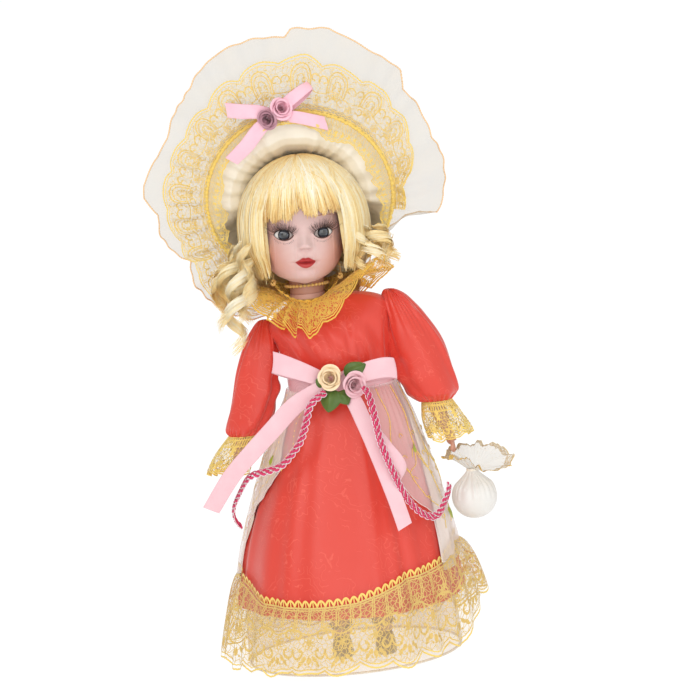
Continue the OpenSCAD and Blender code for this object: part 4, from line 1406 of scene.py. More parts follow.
def build_hat():
    d = math.radians
    # organza brim
    P, F = sheetgrid(brim, 0, 2 * pi, 900, 44)
    ob = mesh("hat_brim_organza", P, F, ORG)
    put(ob, "hat", ["hat_brim"], "organza")
    cloth(ob, 38, "gathered", ["hat_crown"], ())
    b = Bag()
    a = np.linspace(0, 2 * pi, 1500, endpoint=False)
    P = brim(a, np.ones_like(a))
    b.tube(P + 0.0, 0.42 + 0.16 * np.sin(np.arange(1500) * 1.9), 6, None, True)
    ob = b.obj("hat_brim_overlock", PEACH)
    put(ob, "hat")
    # crown, back side: pleated ivory satin
    rows = [[1, 4, 0, 55.2, 55.2], [1, 4, 6, 55.4, 55.4], [1, 4, 13, 53.6, 53.6], [1, 4, 24, 46, 46], [1, 4, 30.5, 33, 33], [1, 4, 33.6, 15, 15], [1, 4, 34.4, 0.15, 0.15]]

    def crown(a, t, s=0.0):
        R = rows_at(rows, t * (len(rows) - 1))
        k = (1 + 0.016 * pleats(a, 40, 71, 0.6) * np.sin(pi * np.clip(t * 0.9 + 0.05, 0, 1)))
        k = k - s / np.maximum(R[:, 3], 6)
        return hatp(R[:, 0] + R[:, 3] * k * np.cos(a), R[:, 1] - R[:, 4] * k * np.sin(a), R[:, 2] - s * 0.5 * t)
    P, F = sheetgrid(crown, 0, 2 * pi, 640, 60)
    ob = mesh("hat_crown_satin", P, F, IVORY)
    put(ob, "hat", ["hat_crown"], "ivory_satin")
    cloth(ob, 60, "gathered", ["hat_lining"])

    # lining: puffed satin between ring and hair
    def lining(a, t):
        K = [0, 0.08, 0.18, 0.3, 0.42, 0.55, 0.7, 0.85, 1.0]
        R = np.interp(t, K, [54.4, 52.8, 50.4, 46.0, 41.0, 36.0, 30.0, 20.0, 0.6])
        zs = np.interp(t, K, [-1.2, -4.0, -6.5, -8.0, -8.5, -6.0, 0.0, 14.0, 29.0])
        zd = np.interp(t, K, [-1.2, -1.0, 2.5, 9.0, 14.0, 19.5, 24.0, 27.5, 29.0])
        w = sstep(np.sin(a), -0.55, 0.0)
        z = zs * w + zd * (1 - w)
        f = pleats(a, 24, 81, 0.7, 0.9) * 1.2 * np.sin(pi * np.clip(t * 1.05, 0, 1)) ** 0.6 + pleats(a, 7, 85, 0.9) * 1.3 * np.sin(pi * t)
        return hatp(1 + R * np.cos(a), 4 - R * np.sin(a), z + f)
    P, F = sheetgrid(lining, 0, 2 * pi, 560, 70)
    ob = mesh("hat_lining_satin", P, F, LINING)
    put(ob, "hat", ["hat_lining"], "ivory_satin")
    cloth(ob, 62, "gathered", ["hat_crown"])

    # gathered casing over the wire ring
    b = Bag()
    a = np.linspace(0, 2 * pi, 1100, endpoint=False)
    m = 12
    ph = np.linspace(0, 2 * pi, m, endpoint=False)
    rad = 1.15 + 0.26 * pleats(a, 120, 3, 0.2)
    R = RING_R - 0.6 + 0.25 * pleats(a, 60, 4, 0.3)
    V = hatp(1 + (R[:, None] + rad[:, None] * np.cos(ph)) * np.cos(a)[:, None], 4 - (R[:, None] + rad[:, None] * np.cos(ph)) * np.sin(a)[:, None],
             -2.0 + rad[:, None] * 0.9 * np.sin(ph) + 0 * a[:, None])
    F = gridfaces(len(a) + 1, m, True)
    F = np.where(F >= len(a) * m, F - len(a) * m, F)
    b.add(V.reshape(-1, 3), F)
    ob = b.obj("hat_ring_casing", GOLD)
    put(ob, "hat", ["hat_band"], "gold_lace")

    # gold lace on the front of the brim, from the lower right over the top to the lower left
    a0, a1 = d(-13), d(250)
    L = (a1 - a0) * 78 * 1.0
    H = 31.0
    b = Bag()
    lc = Lace(b, hat_lace_surf, a0, a1, L, H, 5, 0.0, 1.0)
    lc.k = 1.35
    SC = L / 15
    lc.edges(SC, 4.6, ((0.0, 0.5), (1.7, 0.36)), 1.7)
    lc.net(3.0, 2.7, 0.17, SC, 4.6, 1.0, 0.8)
    n = 15
    for i in range(n):
        c = (i + 0.5) * SC + lc.r.normal(0, 0.6)
        # a bell of nested arches with curls beside it
        for k, (hw, h0, h1, w) in enumerate(((SC * 0.30, 0.36, 0.84, 0.62), (SC * 0.23, 0.38, 0.77, 0.42), (SC * 0.12, 0.42, 0.66, 0.42))):
            u = np.linspace(-1, 1, 26)
            lc.line(c + hw * np.sin(u * pi / 2) * (1 - 0.16 * u ** 2), H * (h0 + (h1 - h0) * np.cos(u * pi / 2) ** 0.6), w, lift=0.05, h=0.16)
        for sg in (-1, 1):
            lc.scroll(c + sg * SC * 0.36, H * 0.60, 3.6, pi / 2 - sg * 2.2, sg * 5.2, 0.55)
            lc.scroll(c + sg * SC * 0.20, H * 0.30, 3.0, -pi / 2 + sg * 0.8, -sg * 5.0, 0.5)
            lc.scroll(c + sg * SC * 0.10, H * 0.52, 1.9, pi / 2 - sg, sg * 4.6, 0.42)
        for k in range(5):
            lc.petal(c, H * 0.30, pi / 2 + (k - 2) * 0.62, 6, 3.8, 1.5, False)
        for k in range(6):
            lc.petal(c + SC * 0.5, H * 0.22, k * pi / 3 + 0.3, 6, 3.0, 1.3, False)
        lc.dot(c + SC * 0.5, H * 0.22, 0.5)
        s = np.linspace(c - SC / 2, c + SC / 2, 22)
        lc.line(s, H * 0.40 + 1.4 * np.cos((s - c) * 2 * pi / SC), 0.42)
        lc.line(s, H * 0.105 + 0.5 * np.cos((s - c) * 6 * pi / SC), 0.36)
        for k in range(5):
            x = c - SC * 0.4 + SC * 0.2 * k
            lc.dot(x, H * 0.86 - 0.2 * abs(k - 2) * 3.5, 0.4)
    s = np.linspace(0, L, 900)
    for t, w in ((0.6, 0.6), (2.2, 0.3)):
        lc.line(s, t + 0.3 * np.sin(s * 1.9), w)
    lp = b.obj("hat_lace_gold", GOLD)
    put(lp, "hat", ["hat_lace"], "gold_lace")
    P, F = sheetgrid(hat_lace_surf, a0, a1, 620, 22, 0, 0.86)
    ob = mesh("hat_lace_net", P, F, NETG)
    put(ob, "hat")
    cloth(ob, 27, "gathered", ["hat_brim"], [lp])

    # small frills turned inwards over the ring
    def frill(a, t):
        k = pleats(a, 19, 91, 0.9)
        e = np.maximum(gau(np.mod(a + pi, 2 * pi) - pi - d(15), d(24)), gau(np.mod(a + pi, 2 * pi) - pi - d(62), d(12)))
        e = np.maximum(e, gau(a - d(180), d(22)))
        out = 3.6 + 9.5 * e
        R = RING_R - 1.0 - out * t * (0.8 + 0.16 * k)
        z = -2.8 - 8.6 * sstep(t, 0, 0.45) + 1.8 * k * t - 1.5 * e * t
        return hatp(1 + R * np.cos(a), 4 - R * np.sin(a), z)
    b = Bag()
    L2 = 2 * pi * 55 * 1.5
    lc = Lace(b, frill, d(-60), d(300), L2, 11.0, 9, 0.1)
    lc.edges(6.5, 1.2, ((0, 0.5), (1.1, 0.35)), 1.1)
    lc.net(2.5, 2.0, 0.24, 6.5, 1.2, 0.2, 0.3, 1.2)
    for x in np.arange(3, L2, 6.5):
        lc.flower(x, 5.5, 2.0, 5, True)
    lp = b.obj("hat_frill_gold", GOLD)
    put(lp, "hat")
    P, F = sheetgrid(frill, d(-60), d(300), 900, 8, 0, 0.9)
    ob = mesh("hat_frill_net", P, F, NETG)
    put(ob, "hat")
    cloth(ob, 11, "gathered", ["hat_band"], [lp])


build_hat()


def ribbon_surf(b, P, Wv, n=7, curl=0.0, th=0.0):
    """A satin band: centre line P, half-width vectors Wv, slightly cupped."""
    P, Wv = np.asarray(P, float), np.broadcast_to(np.asarray(Wv, float), np.shape(P))
    T = np.gradient(P, axis=0)
    N = np.cross(T, Wv)
    N /= np.linalg.norm(N, axis=1, keepdims=True) + 1e-9
    x = np.linspace(-1, 1, n)
    V = P[:, None, :] + x[None, :, None] * Wv[:, None, :] + (curl * (1 - x ** 2))[None, :, None] * N[:, None, :]
    b.add(V.reshape(-1, 3), gridfaces(len(P), n))
    if th:
        V = V - th * N[:, None, :]
        b.add(V.reshape(-1, 3), gridfaces(len(P), n, False, True))


def band(b, pts, wv, k=14, curl=0.4, n=7, edge=True):
    """Ribbon through control points with width vectors, both smoothly interpolated."""
    P = catmull(pts, k)
    Wv = catmull(wv, k) / 2
    ribbon_surf(b, P, Wv, n, curl)
    if edge:
        for sg in (-1, 1):
            b.tube(P + sg * Wv, 0.16, 4)


def fold_sheet(name, surf, a0, a1, na, nt, mat, width, rests=(), parts=(), body="torso", nodes=(), slot=None, held="gathered", t0=0, t1=1):
    P, F = sheetgrid(surf, a0, a1, na, nt, t0, t1)
    ob = mesh(name, P, F, mat)
    put(ob, body, list(nodes), slot)
    cloth(ob, width, held, list(rests), list(parts))
    return ob


def rad(x):
    return math.radians(x)


# ================================================================== SHOULDERS, NECK, COLLAR
def build_shoulders():
    rows = [[9.6, 0, 183, 27, 20.5], [7, 0, 197, 26.5, 18], [4, 0, 204, 20.5, 14.4], [0.4, 0, 209, 13.6, 12.2], [-2.2, 0, 213, 11.0, 10.9], [-2.4, 0, 217.2, 10.3, 10.3]]
    a, q = np.meshgrid(np.linspace(0, 2 * pi, 160, endpoint=False), np.linspace(0, 1, 60))
    P = ringrow(rows, a.ravel(), q.ravel())
    b = Bag()
    c = np.array(lin((220, 172, 156))[:3])
    b.add(P, gridfaces(60, 160, True), c)
    # rim turned in at the top of the neck
    t = np.linspace(0, 1, 8)
    aa = np.arange(160) * 2 * pi / 160
    V = np.stack([-2.4 + np.outer(10.3 - 2.0 * t, np.cos(aa)), np.outer(10.3 - 2.0 * t, np.sin(aa)), 217.2 - np.outer(t ** 2 * 3, np.ones(160))], -1)
    b.add(V.reshape(-1, 3), gridfaces(8, 160, True), c)
    ob = b.obj("shoulder_bisque", SKIN)
    put(ob, "torso", ["shoulder_plate"], "porcelain")
    # necklace: gilt beads on a thread
    b = Bag()
    n = 34
    for i in range(n):
        a = 2 * pi * i / n
        c = (-2.2 + 12.4 * math.cos(a), -1.0 + 12.2 * math.sin(a), 222.2 - 0.6 * math.sin(a))
        V, F = sphere_vf(c, 1.02, 14, 9)
        b.add(V, F)
    a = np.arange(120) * 2 * pi / 120
    b.tube(np.stack([-2.2 + 12.4 * np.cos(a), -1.0 + 12.2 * np.sin(a), 222.2 - 0.6 * np.sin(a)], -1), 0.28, 5, None, True)
    ob = b.obj("necklace_beads", PEARL)
    put(ob, "torso", ["necklace"], "gilt_bead")
    # ear rings: a hook and a cluster of beads
    for x, node in ((-21.4, "earring_right"), (18.0, "earring_left")):
        b = Bag()
        rr = np.random.default_rng(4)
        for k in range(16):
            p = rr.normal(0, 1, 3)
            p = p / np.linalg.norm(p) * 1.25
            V, F = sphere_vf((x + p[0], -11 + p[1], 226.2 + p[2] * 1.1), 0.75, 10, 7)
            b.add(V, F)
        b.tube(catmull([(x, -11, 228), (x + 0.4, -10.4, 231), (x, -9.0, 233.5), (x - 0.3, -7.4, 232.0)], 8), 0.2, 5)
        ob = b.obj(node + "_beads", PEARL)
        put(ob, "head", [node], "gilt_bead")


COL_A = np.radians([-180, -171, -160, -144, -125, -110, -96, -83, -70, -57, -45, -25, -5, 12, 30, 60, 90, 120, 155, 180])
#            az        outer radius, outer height
COL_R = np.array([34, 36, 39, 38, 36, 35, 34.5, 34, 35.5, 39, 43, 50, 55, 50, 42, 36, 34, 34, 34, 34.0])
COL_Z = np.array([224, 225, 220, 208, 202, 199, 196.5, 195.5, 200, 211, 226, 237, 232, 224, 214, 208, 206, 207, 214, 224.0])


def collar_surf(a, t):
    R1 = np.interp(np.mod(a + pi, 2 * pi) - pi, COL_A, COL_R)
    Z1 = np.interp(np.mod(a + pi, 2 * pi) - pi, COL_A, COL_Z)
    f = pleats(a, 13, 41, 0.8)
    g = pleats(a, 29, 44, 0.6)
    R = 11.2 + (R1 - 11.2) * t + 4.2 * f * t ** 1.1
    Z = 214.6 + (Z1 - 214.6) * t ** 1.25 + (4.6 * f) * t ** 1.2 + 0.7 * g * t + 4.6 * np.sin(pi * np.clip(t, 0, 1)) * 0.8
    cx = -2.0 + 1.0 * t
    return np.stack([cx + R * np.cos(a), -1.5 * t + R * np.sin(a) * 0.92, Z], -1)


def collar_in(a, t):
    """Short upright frill at the neck."""
    f = pleats(a, 24, 51, 0.5)
    R = 12.4 + 6.4 * t + 1.6 * f * t
    Z = 212.6 + (7.0 + 4.5 * np.cos(a) ** 2) * t + 0.9 * np.cos(2 * a) * t - 3.6 * gau(np.mod(a + pi, 2 * pi) - pi + pi / 2, 0.7) + 0.8 * f * t
    return np.stack([-2.2 + R * np.cos(a), -0.6 + R * np.sin(a), Z], -1)


def build_collar():
    b = Bag()
    L, H = 2 * pi * 38 * 1.3, 31.0
    lc = Lace(b, collar_surf, rad(-270), rad(90), L, H, 7, 0.15)
    lc.k = 1.7
    n = 17
    SC = L / n
    lc.edges(SC, 3.6, ((0, 0.6), (1.7, 0.5), (3.0, 0.35)), 1.3)
    lc.net(2.5, 2.0, 0.26, SC, 3.6, 0.5, 0.45, 3.2)
    for i in range(n):
        c = (i + 0.5) * SC
        lc.flower(c, H * 0.62, 3.8, 6, False)
        for sg in (-1, 1):
            lc.scroll(c + sg * SC * 0.3, H * 0.68, 3.4, pi / 2 - sg * 2, sg * 4.6, 0.7)
            lc.scroll(c + sg * SC * 0.3, H * 0.36, 2.8, -pi / 2 + sg, -sg * 4.4, 0.6)
            lc.petal(c + sg * 1.8, H * 0.78, pi / 2 - sg * 0.7, 6, 3.2, 1.3)
        lc.flower(c + SC / 2, H * 0.28, 3.2, 6, False)
        s = np.linspace(c - SC / 2, c + SC / 2, 20)
        lc.line(s, H * 0.48 + 1.3 * np.cos((s - c) * 2 * pi / SC), 0.5)
    lp = b.obj("collar_lace_gold", GOLD_C)
    put(lp, "torso", ["collar"], "gold_lace")
    P, F = sheetgrid(collar_surf, rad(-270), rad(90), 620, 20, 0, 0.9)
    ob = mesh("collar_net", P, F, NETC)
    put(ob, "torso")
    cloth(ob, 27, "gathered", ["shoulder_plate"], [lp])
    b = Bag()
    L2, H2 = 2 * pi * 16 * 1.5, 12.0
    lc = Lace(b, collar_in, rad(-270), rad(90), L2, H2, 8, 0.1)
    lc.k = 1.5
    lc.edges(5.2, 1.5, ((0, 0.6), (1.2, 0.4)), 1.1)
    for x in np.arange(2.6, L2, 5.2):
        for sg in (-1, 0, 1):
            s = np.linspace(0, 1, 9)
            lc.line(x + sg * 1.5 * s, 0.3 + (H2 - 1.6 - 0.5 * abs(sg)) * s, 0.42)
    for t in (0.3, 1.2):
        s = np.linspace(0, L2, 300)
        lc.line(s, np.full(300, t), 0.5)
    ob = b.obj("neck_frill_gold", GOLD_C)
    put(ob, "torso")
    P, F = sheetgrid(collar_in, rad(-270), rad(90), 300, 8, 0, 0.92)
    nn = mesh("neck_frill_net", P, F, NETC)
    put(nn, "torso")
    cloth(nn, 12, "gathered", ["shoulder_bisque"], [ob])


build_shoulders()
build_collar()

# ================================================================== DRESS
BOD = [[11.8, 0, 160, 30.0, 24.4], [12, 0, 166, 28.4, 22.6], [11.4, 0, 172, 30.2, 24.0], [10.4, 0, 181, 32.0, 25.4], [9.2, 0, 190, 33.6, 24.8], [8.2, 0, 198, 35.6, 21.6], [7.2, 0, 204.5, 34.4, 16.0], [5.2, 0, 209.5, 27, 13.4], [1.6, 0, 212.8, 18, 12.8], [-0.8, -0.4, 214.6, 13.0, 12.3]]


def bodice_surf(a, t):
    f = pleats(a, 17, 101, 0.8)
    k = sstep(t, 0.02, 0.25) * (1 - sstep(t, 0.25, 0.8))
    P = ringrow(BOD, a, t)
    P[:, 2] += 0.15 * (P[:, 0] - 2.0) * sstep(P[:, 2], 184, 206)
    c = np.array([9.5, 0])
    s = 1 + 0.022 * f * (0.35 + 0.65 * k) + 0.016 * pleats(a + 0.8 * t, 9, 104, 0.9) * np.sin(pi * np.clip(t, 0, 1))
    P[:, 0] = c[0] + (P[:, 0] - c[0]) * s
    P[:, 1] = c[1] + (P[:, 1] - c[1]) * s
    # drags from the collar to the arm holes, on the chest
    P[:, 1] -= 0.9 * np.sin((P[:, 0] - 9) * 0.42 + (P[:, 2] - 190) * 0.25) * gau(P[:, 2] - 192, 8) * (np.sin(a) < 0)
    return P


SK = [[5, 0, 36, 66.4, 67.4], [5.6, 0, 56, 62.6, 61.6], [6.5, 0, 75, 58.6, 54.6], [9, 0, 110, 48.6, 41.6], [11, 0, 140, 38.6, 31.6], [12, 0, 153, 32.8, 26.6], [12, 0, 160, 30.0, 24.0], [12, 0, 165, 28.4, 22.6]]


def skirt_fold(a, t, amp=1.0):
    """Outward fold height in mm; t 0 at the hem, 1 at the waist."""
    f = 0.62 * pleats(a, 9, 111, 0.9) + 0.38 * pleats(a, 21, 114, 0.8)
    g = pleats(a, 46, 117, 0.6)
    return amp * (2.7 * f * (1 - t) ** 0.8 * (0.35 + 0.65 * sstep(1 - t, 0, 0.5)) + 0.75 * g * sstep(t, 0.62, 0.98))


def skirt_surf(a, t, grow=0.0, amp=1.0, low=0.0):
    P = ringrow(SK, a, t)
    d = np.stack([np.cos(a), np.sin(a), 0 * a], -1)
    P = P + d * (skirt_fold(a, t, amp) + grow)[:, None]
    P[:, 2] += (1 - t) ** 6 * (1.8 * np.sin(2 * a + 0.6) - 1.2 + low)
    return P


def build_dress():
    fold_sheet("bodice_satin", bodice_surf, 0, 2 * pi, 560, 90, CORAL, 62, ["shoulder_plate", "torso_cloth"], (), "torso", ["bodice"], "coral_satin")
    fold_sheet("skirt_satin", skirt_surf, 0, 2 * pi, 760, 120, CORAL, 140, ["petticoat"], (), "torso", ["skirt"], "coral_satin")
    # waist seam gathers of the bodice over the ribbon are hidden by a narrow satin band
    b = Bag()
    a = np.linspace(0, 2 * pi, 400)
    z = np.linspace(0, 1, 9)
    A, Zq = np.meshgrid(a, z, indexing="ij")
    R = np.stack([12 + (31.0 + 0.5 * np.sin(pi * Zq)) * np.cos(A), (25.2 + 0.5 * np.sin(pi * Zq)) * np.sin(A), 160.2 + 10.4 * Zq + 0.5 * np.sin(3 * A)], -1)
    b.add(R.reshape(-1, 3), gridfaces(400, 9))
    ob = b.obj("waist_band_satin", PINK)
    put(ob, "torso", ["waist_ribbon"], "pink_ribbon")
    cloth(ob, 10.4, "laid", ["bodice", "skirt"])

    # petticoat: stiff tulle, with a firm round hem
    PT = [[4, 0, 0.6, 62.6, 62.6], [4, 0, 6, 63.4, 63.4], [4, 0, 40, 60.6, 61.6], [6.5, 0, 75, 53.8, 49.8], [9, 0, 110, 43.8, 36.8], [11, 0, 140, 33.8, 26.8], [12, 0, 158, 27.8, 21.8]]

    def pett(a, t):
        P = ringrow(PT, a, t)
        d = np.stack([np.cos(a), np.sin(a), 0 * a], -1)
        return P + d * (0.7 * pleats(a, 38, 121, 0.5) * np.sin(pi * np.clip(t * 1.02, 0, 1)))[:, None]
    fold_sheet("petticoat_tulle", pett, 0, 2 * pi, 520, 70, TULLE, 160, ["torso_cloth"], (), "torso", ["petticoat"], "tulle", t0=0, t1=1)
    b = Bag()
    a = np.arange(360) * 2 * pi / 360
    b.tube(np.stack([4 + 62.4 * np.cos(a), 62.4 * np.sin(a), 0.75 + 0 * a], -1), 0.75, 8, None, True)
    ob = b.obj("petticoat_hem_binding", BIND)
    put(ob, "torso", ["petticoat_hem"], "tulle")


# overskirt: an ivory under layer at the sides, a sheer drape over it that laps onto the red front
Z_E = [161, 157, 146, 132, 127, 119, 112, 108, 100, 95, 85, 70, 56]
E_R = [-62, -62, -61, -60, -59.5, -58, -56.5, -55, -50, -46, -34, -35, -36]      # sheer edge on the doll's left, degrees
U_R = [-12, -12, -15, -20, -21, -22, -23.5, -24.5, -25.4, -26, -28, -31, -33]    # where the red ends
E_L = [-118, -118, -124, -126, -131, -140, -147, -152, -160, -165, -172, -175.5, -176.5]
U_L = [-150, -150, -150, -149.5, -147, -145.5, -151, -155, -163, -168, -175, -178, -179]


def build_overskirt():
    z0, z1 = 57.0, 161.5
    tt = np.linspace(0, 1, 400)
    zz = ringrow(SK, np.zeros(400), tt)[:, 2]

    def t_of(z):
        return np.interp(z, zz, tt)

    def panel(E, far, grow, amp, zlow):
        def f(a, t):
            """a 0..1 across from the front edge to the back seam, t 0..1 up."""
            z = zlow + (z1 - zlow) * t
            e = np.radians(np.interp(-z, -np.array(Z_E, float), np.array(E, float)))
            A = e + (far - e) * a
            P = skirt_surf(A, t_of(z), 0, 1.0)
            d = np.stack([np.cos(A), np.sin(A), 0 * A], -1)
            g = grow + amp * (pleats(A, 26, 131 + int(grow * 10), 0.7) * (1 - t) + 0.35 * pleats(A, 48, 137, 0.5)) + 0.5 * amp
            P = P + d * g[:, None]
            P[:, 2] += (1 - t) ** 8 * 2.2 * pleats(A, 7, 139, 0.8)
            return P
        return f
    for side, E, U, far, sgn in (("left", E_R, U_R, rad(90), 1), ("right", E_L, U_L, rad(-270), -1)):
        node = "overskirt_" + side
        under = panel(U, far, 0.9, 0.45, 52)
        over = panel(E, far, 2.6, 0.8, z0)
        P, F = sheetgrid(under, 0, 1, 420, 90)
        ob = mesh("underskirt_ivory_" + side, P, F, IVORY_S)
        put(ob, "torso", [node], "organza")
        cloth(ob, 106, "gathered", ["skirt"])
        P, F = sheetgrid(over, 0, 1, 420, 90)
        ob = mesh("overskirt_organza_" + side, P, F, ORG_S)
        put(ob, "torso")
        # embroidered gold stems and a leaf
        b, lf = Bag(), Bag()

        def emb(pa, pt, w=0.55):
            pa, pt = catmull(np.stack([pa, pt, 0 * np.asarray(pa)], -1), 12)[:, 0], catmull(np.stack([pa, pt, 0 * np.asarray(pa)], -1), 12)[:, 1]
            Q = over(pa, pt)
            N = normals(over, pa, pt) * (1 if sgn > 0 else -1)
            b.tube(Q + N * 0.25 * sgn, w / 2 * (1 + 0.35 * np.sin(np.arange(len(Q)) * 2.4)), 5)
            return Q
        rr = np.random.default_rng(5 + sgn)
        for k in range(7):
            a0 = 0.05 + 0.14 * k
            emb([a0, a0 + 0.02, a0 - 0.01, a0 + 0.03, a0 + 0.02], [0.98, 0.82, 0.66, 0.5, 0.36])
            emb([a0 + 0.03, a0 - 0.03, a0 - 0.06], [0.5, 0.62, 0.58], 0.45)
            emb([a0 + 0.03, a0 + 0.09, a0 + 0.13], [0.5, 0.55, 0.66], 0.45)
            emb([a0 + 0.02, a0 + 0.05, a0 + 0.04], [0.36, 0.26, 0.16], 0.45)
            for q in range(5):
                ac, tc = a0 + 0.04 + rr.uniform(-0.02, 0.02), 0.22 + 0.12 * q
                u = np.linspace(0, 4.2, 12)
                emb(ac + 0.016 * (1 - u / 6) * np.cos(u), tc + 0.022 * (1 - u / 6) * np.sin(u), 0.4)
            for (la, lt, an) in (((a0 + 0.11, 0.60, 0.8),) if k % 2 == 0 else ((a0 + 0.045, 0.24, -1.2),)):
                x = np.linspace(0, 1, 9)
                ca, ct = la + 0.035 * x * math.cos(an), lt + 0.075 * x * math.sin(an)
                Q = over(ca, ct)
                N = normals(over, ca, ct)
                N = N * np.sign((N[:, :1] * (Q[:, :1] - 9) + N[:, 1:2] * Q[:, 1:2]))
                lf.strip(Q + N * 0.3, N, 3.6 * np.sin(pi * np.clip(x * 0.97 + 0.02, 0, 1)) ** 0.8 + 0.1, 0.3)
        st = b.obj("overskirt_gold_stems_" + side, GOLD)
        put(st, "torso")
        lv = lf.obj("overskirt_leaves_" + side, LEAF_E)
        put(lv, "torso")
        cloth(ob, 101, "gathered", ["skirt"], [st, lv])
        # narrow rolled edges
        b = Bag()
        t = np.linspace(0, 1, 160)
        b.tube(over(np.zeros(160), t), 0.32, 5)
        a = np.linspace(0, 1, 500)
        b.tube(over(a, np.zeros(500)), 0.3, 5)
        ed = b.obj("overskirt_edge_" + side, ORG_E)
        put(ed, "torso")


build_dress()
build_overskirt()


# ------------------------------------------------------------------ hem lace
HL_A = np.radians([-180, -165, -140, -115, -100, -88, -75, -60, -45, -30, -15, 0, 20, 60, 90, 130, 160, 180])
HL_Z0 = np.array([56, 52, 43, 41.5, 41.5, 42, 46, 51, 52.5, 56, 62, 64, 58, 52, 50, 50, 54, 56.0])       # heading height
HL_R1 = np.array([78, 78, 77, 75, 74, 74, 74, 75, 76, 78, 82, 84, 78, 75, 75, 75, 77, 78.0])             # lower edge radius
HL_Z1 = np.array([6, 4, 3.5, 2.2, 2.2, 2.4, 2.6, 2.4, 3, 7, 20, 33, 15, 4, 3, 3, 5, 6.0])                      # lower edge height


def heml(a, t):
    b_ = np.mod(a + pi, 2 * pi) - pi
    z0, r1, z1 = (np.interp(b_, HL_A, v) for v in (HL_Z0, HL_R1, HL_Z1))
    # radius of the skirt where the heading is sewn
    rs = np.interp(z0, [36, 56, 75], [66.4, 62.6, 58.6])
    ys = np.interp(z0, [36, 56, 75], [67.4, 61.6, 54.6])
    cx = np.interp(z0, [36, 56, 75], [5, 5.6, 6.5])
    hd = np.clip(t / 0.12, 0, 1)
    q = np.clip((t - 0.12) / 0.88, 0, 1)
    f = 0.55 * pleats(a, 23, 141, 0.9) + 0.45 * pleats(a, 11, 144, 0.9)
    foldk = skirt_fold(a, (z0 - 36) / 129.0) + 1.6
    rx = rs + foldk + (r1 - 2.5 - rs) * q ** 0.62 + 3.4 * f * np.sin(pi * np.clip(q * 0.62, 0, 1)) ** 0.9
    ry = ys + foldk + (r1 - 3.5 - ys) * q ** 0.62 + 3.4 * f * np.sin(pi * np.clip(q * 0.62, 0, 1)) ** 0.9
    z = z0 + 5.0 * (1 - hd) * (t < 0.12) + (z1 - z0) * (0.5 * q + 0.5 * q ** 1.35) + 1.8 * pleats(a, 15, 147, 0.8) * q ** 2
    z = np.maximum(z, 1.2)
    c = cx * (1 - q) + 1.5 * q
    return np.stack([c + rx * np.cos(a), ry * np.sin(a), z], -1)


def build_hem():
    b = Bag()
    a0, a1 = rad(-87), rad(273)
    L, H = 2 * pi * 72 * 1.22, 48.0
    lc = Lace(b, heml, a0, a1, L, H, 15, 0.2)
    lc.k = 1.5
    n = 23
    SC = L / n
    lc.edges(SC, 4.6, ((0, 0.65), (2.0, 0.5)), 1.5)
    lc.net(3.4, 2.5, 0.24, SC, 4.6, 6.0, 0.35, 2.4)
    # scalloped heading with a ladder below it
    s = np.linspace(0, L, 2600)
    sc = 6.2
    lc.line(s, 4.9 - 4.4 * np.abs(np.sin(pi * s / sc)) ** 0.7, 0.75)
    lc.line(s, 5.4 + 0 * s, 0.7)
    lc.line(s, 7.0 + 0.2 * np.sin(s * 2), 0.5)
    for x in np.arange(0, L, sc / 2):
        lc.line(np.full(4, x), np.linspace(0.8 if int(x / (sc / 2)) % 2 else 3.0, 5.4, 4), 0.45)
    for x in np.arange(0, L, 10.5):
        m = 10
        t = np.linspace(5.4, H * 0.40, m)
        for k in range(2):
            lc.line(x + 1.6 * k + 0.3 * np.sin(t), t, 0.45)
    for i in range(n):
        c = (i + 0.5) * SC
        lc.flower(c, H * 0.60, 5.2, 7, False)
        lc.flower(c, H * 0.60, 2.4, 6, True)
        for sg in (-1, 1):
            lc.scroll(c + sg * SC * 0.30, H * 0.70, 4.8, pi / 2 - sg * 2.1, sg * 4.8, 0.85)
            lc.scroll(c + sg * SC * 0.36, H * 0.50, 4.0, -pi / 2 + sg * 0.9, -sg * 4.5, 0.8)
            lc.petal(c + sg * 2.2, H * 0.76, pi / 2 - sg * 0.7, 6, 4.2, 1.6)
            lc.petal(c + sg * 5.6, H * 0.80, pi / 2 - sg * 0.3, 6, 3.2, 1.4)
        lc.petal(c, H * 0.77, pi / 2, 6, 4.6, 1.8)
        lc.flower(c + SC / 2, H * 0.40, 4.0, 6, True)
        for k in range(4):
            lc.dot(c - SC * 0.3 + SC * 0.2 * k, H * 0.86, 0.6)
        ss = np.linspace(c - SC / 2, c + SC / 2, 20)
        lc.line(ss, H * 0.46 + 1.8 * np.cos((ss - c) * 2 * pi / SC), 0.55)
    lp = b.obj("hem_lace_gold", GOLD)
    put(lp, "torso", ["hem_lace"], "gold_lace")
    P, F = sheetgrid(heml, a0, a1, 900, 34, 0.1, 0.93)
    ob = mesh("hem_lace_net", P, F, NETH)
    put(ob, "torso")
    cloth(ob, 42, "gathered", ["skirt"], [lp])


build_hem()


def pxp(pts):
    """(u, v, y) triples in the 700 frame to doll millimetres."""
    out = []
    for u, v, y in pts:
        X, Z = px2mm(u, v, y)
        out.append((X, y, Z))
    return np.array(out)


place = pxp


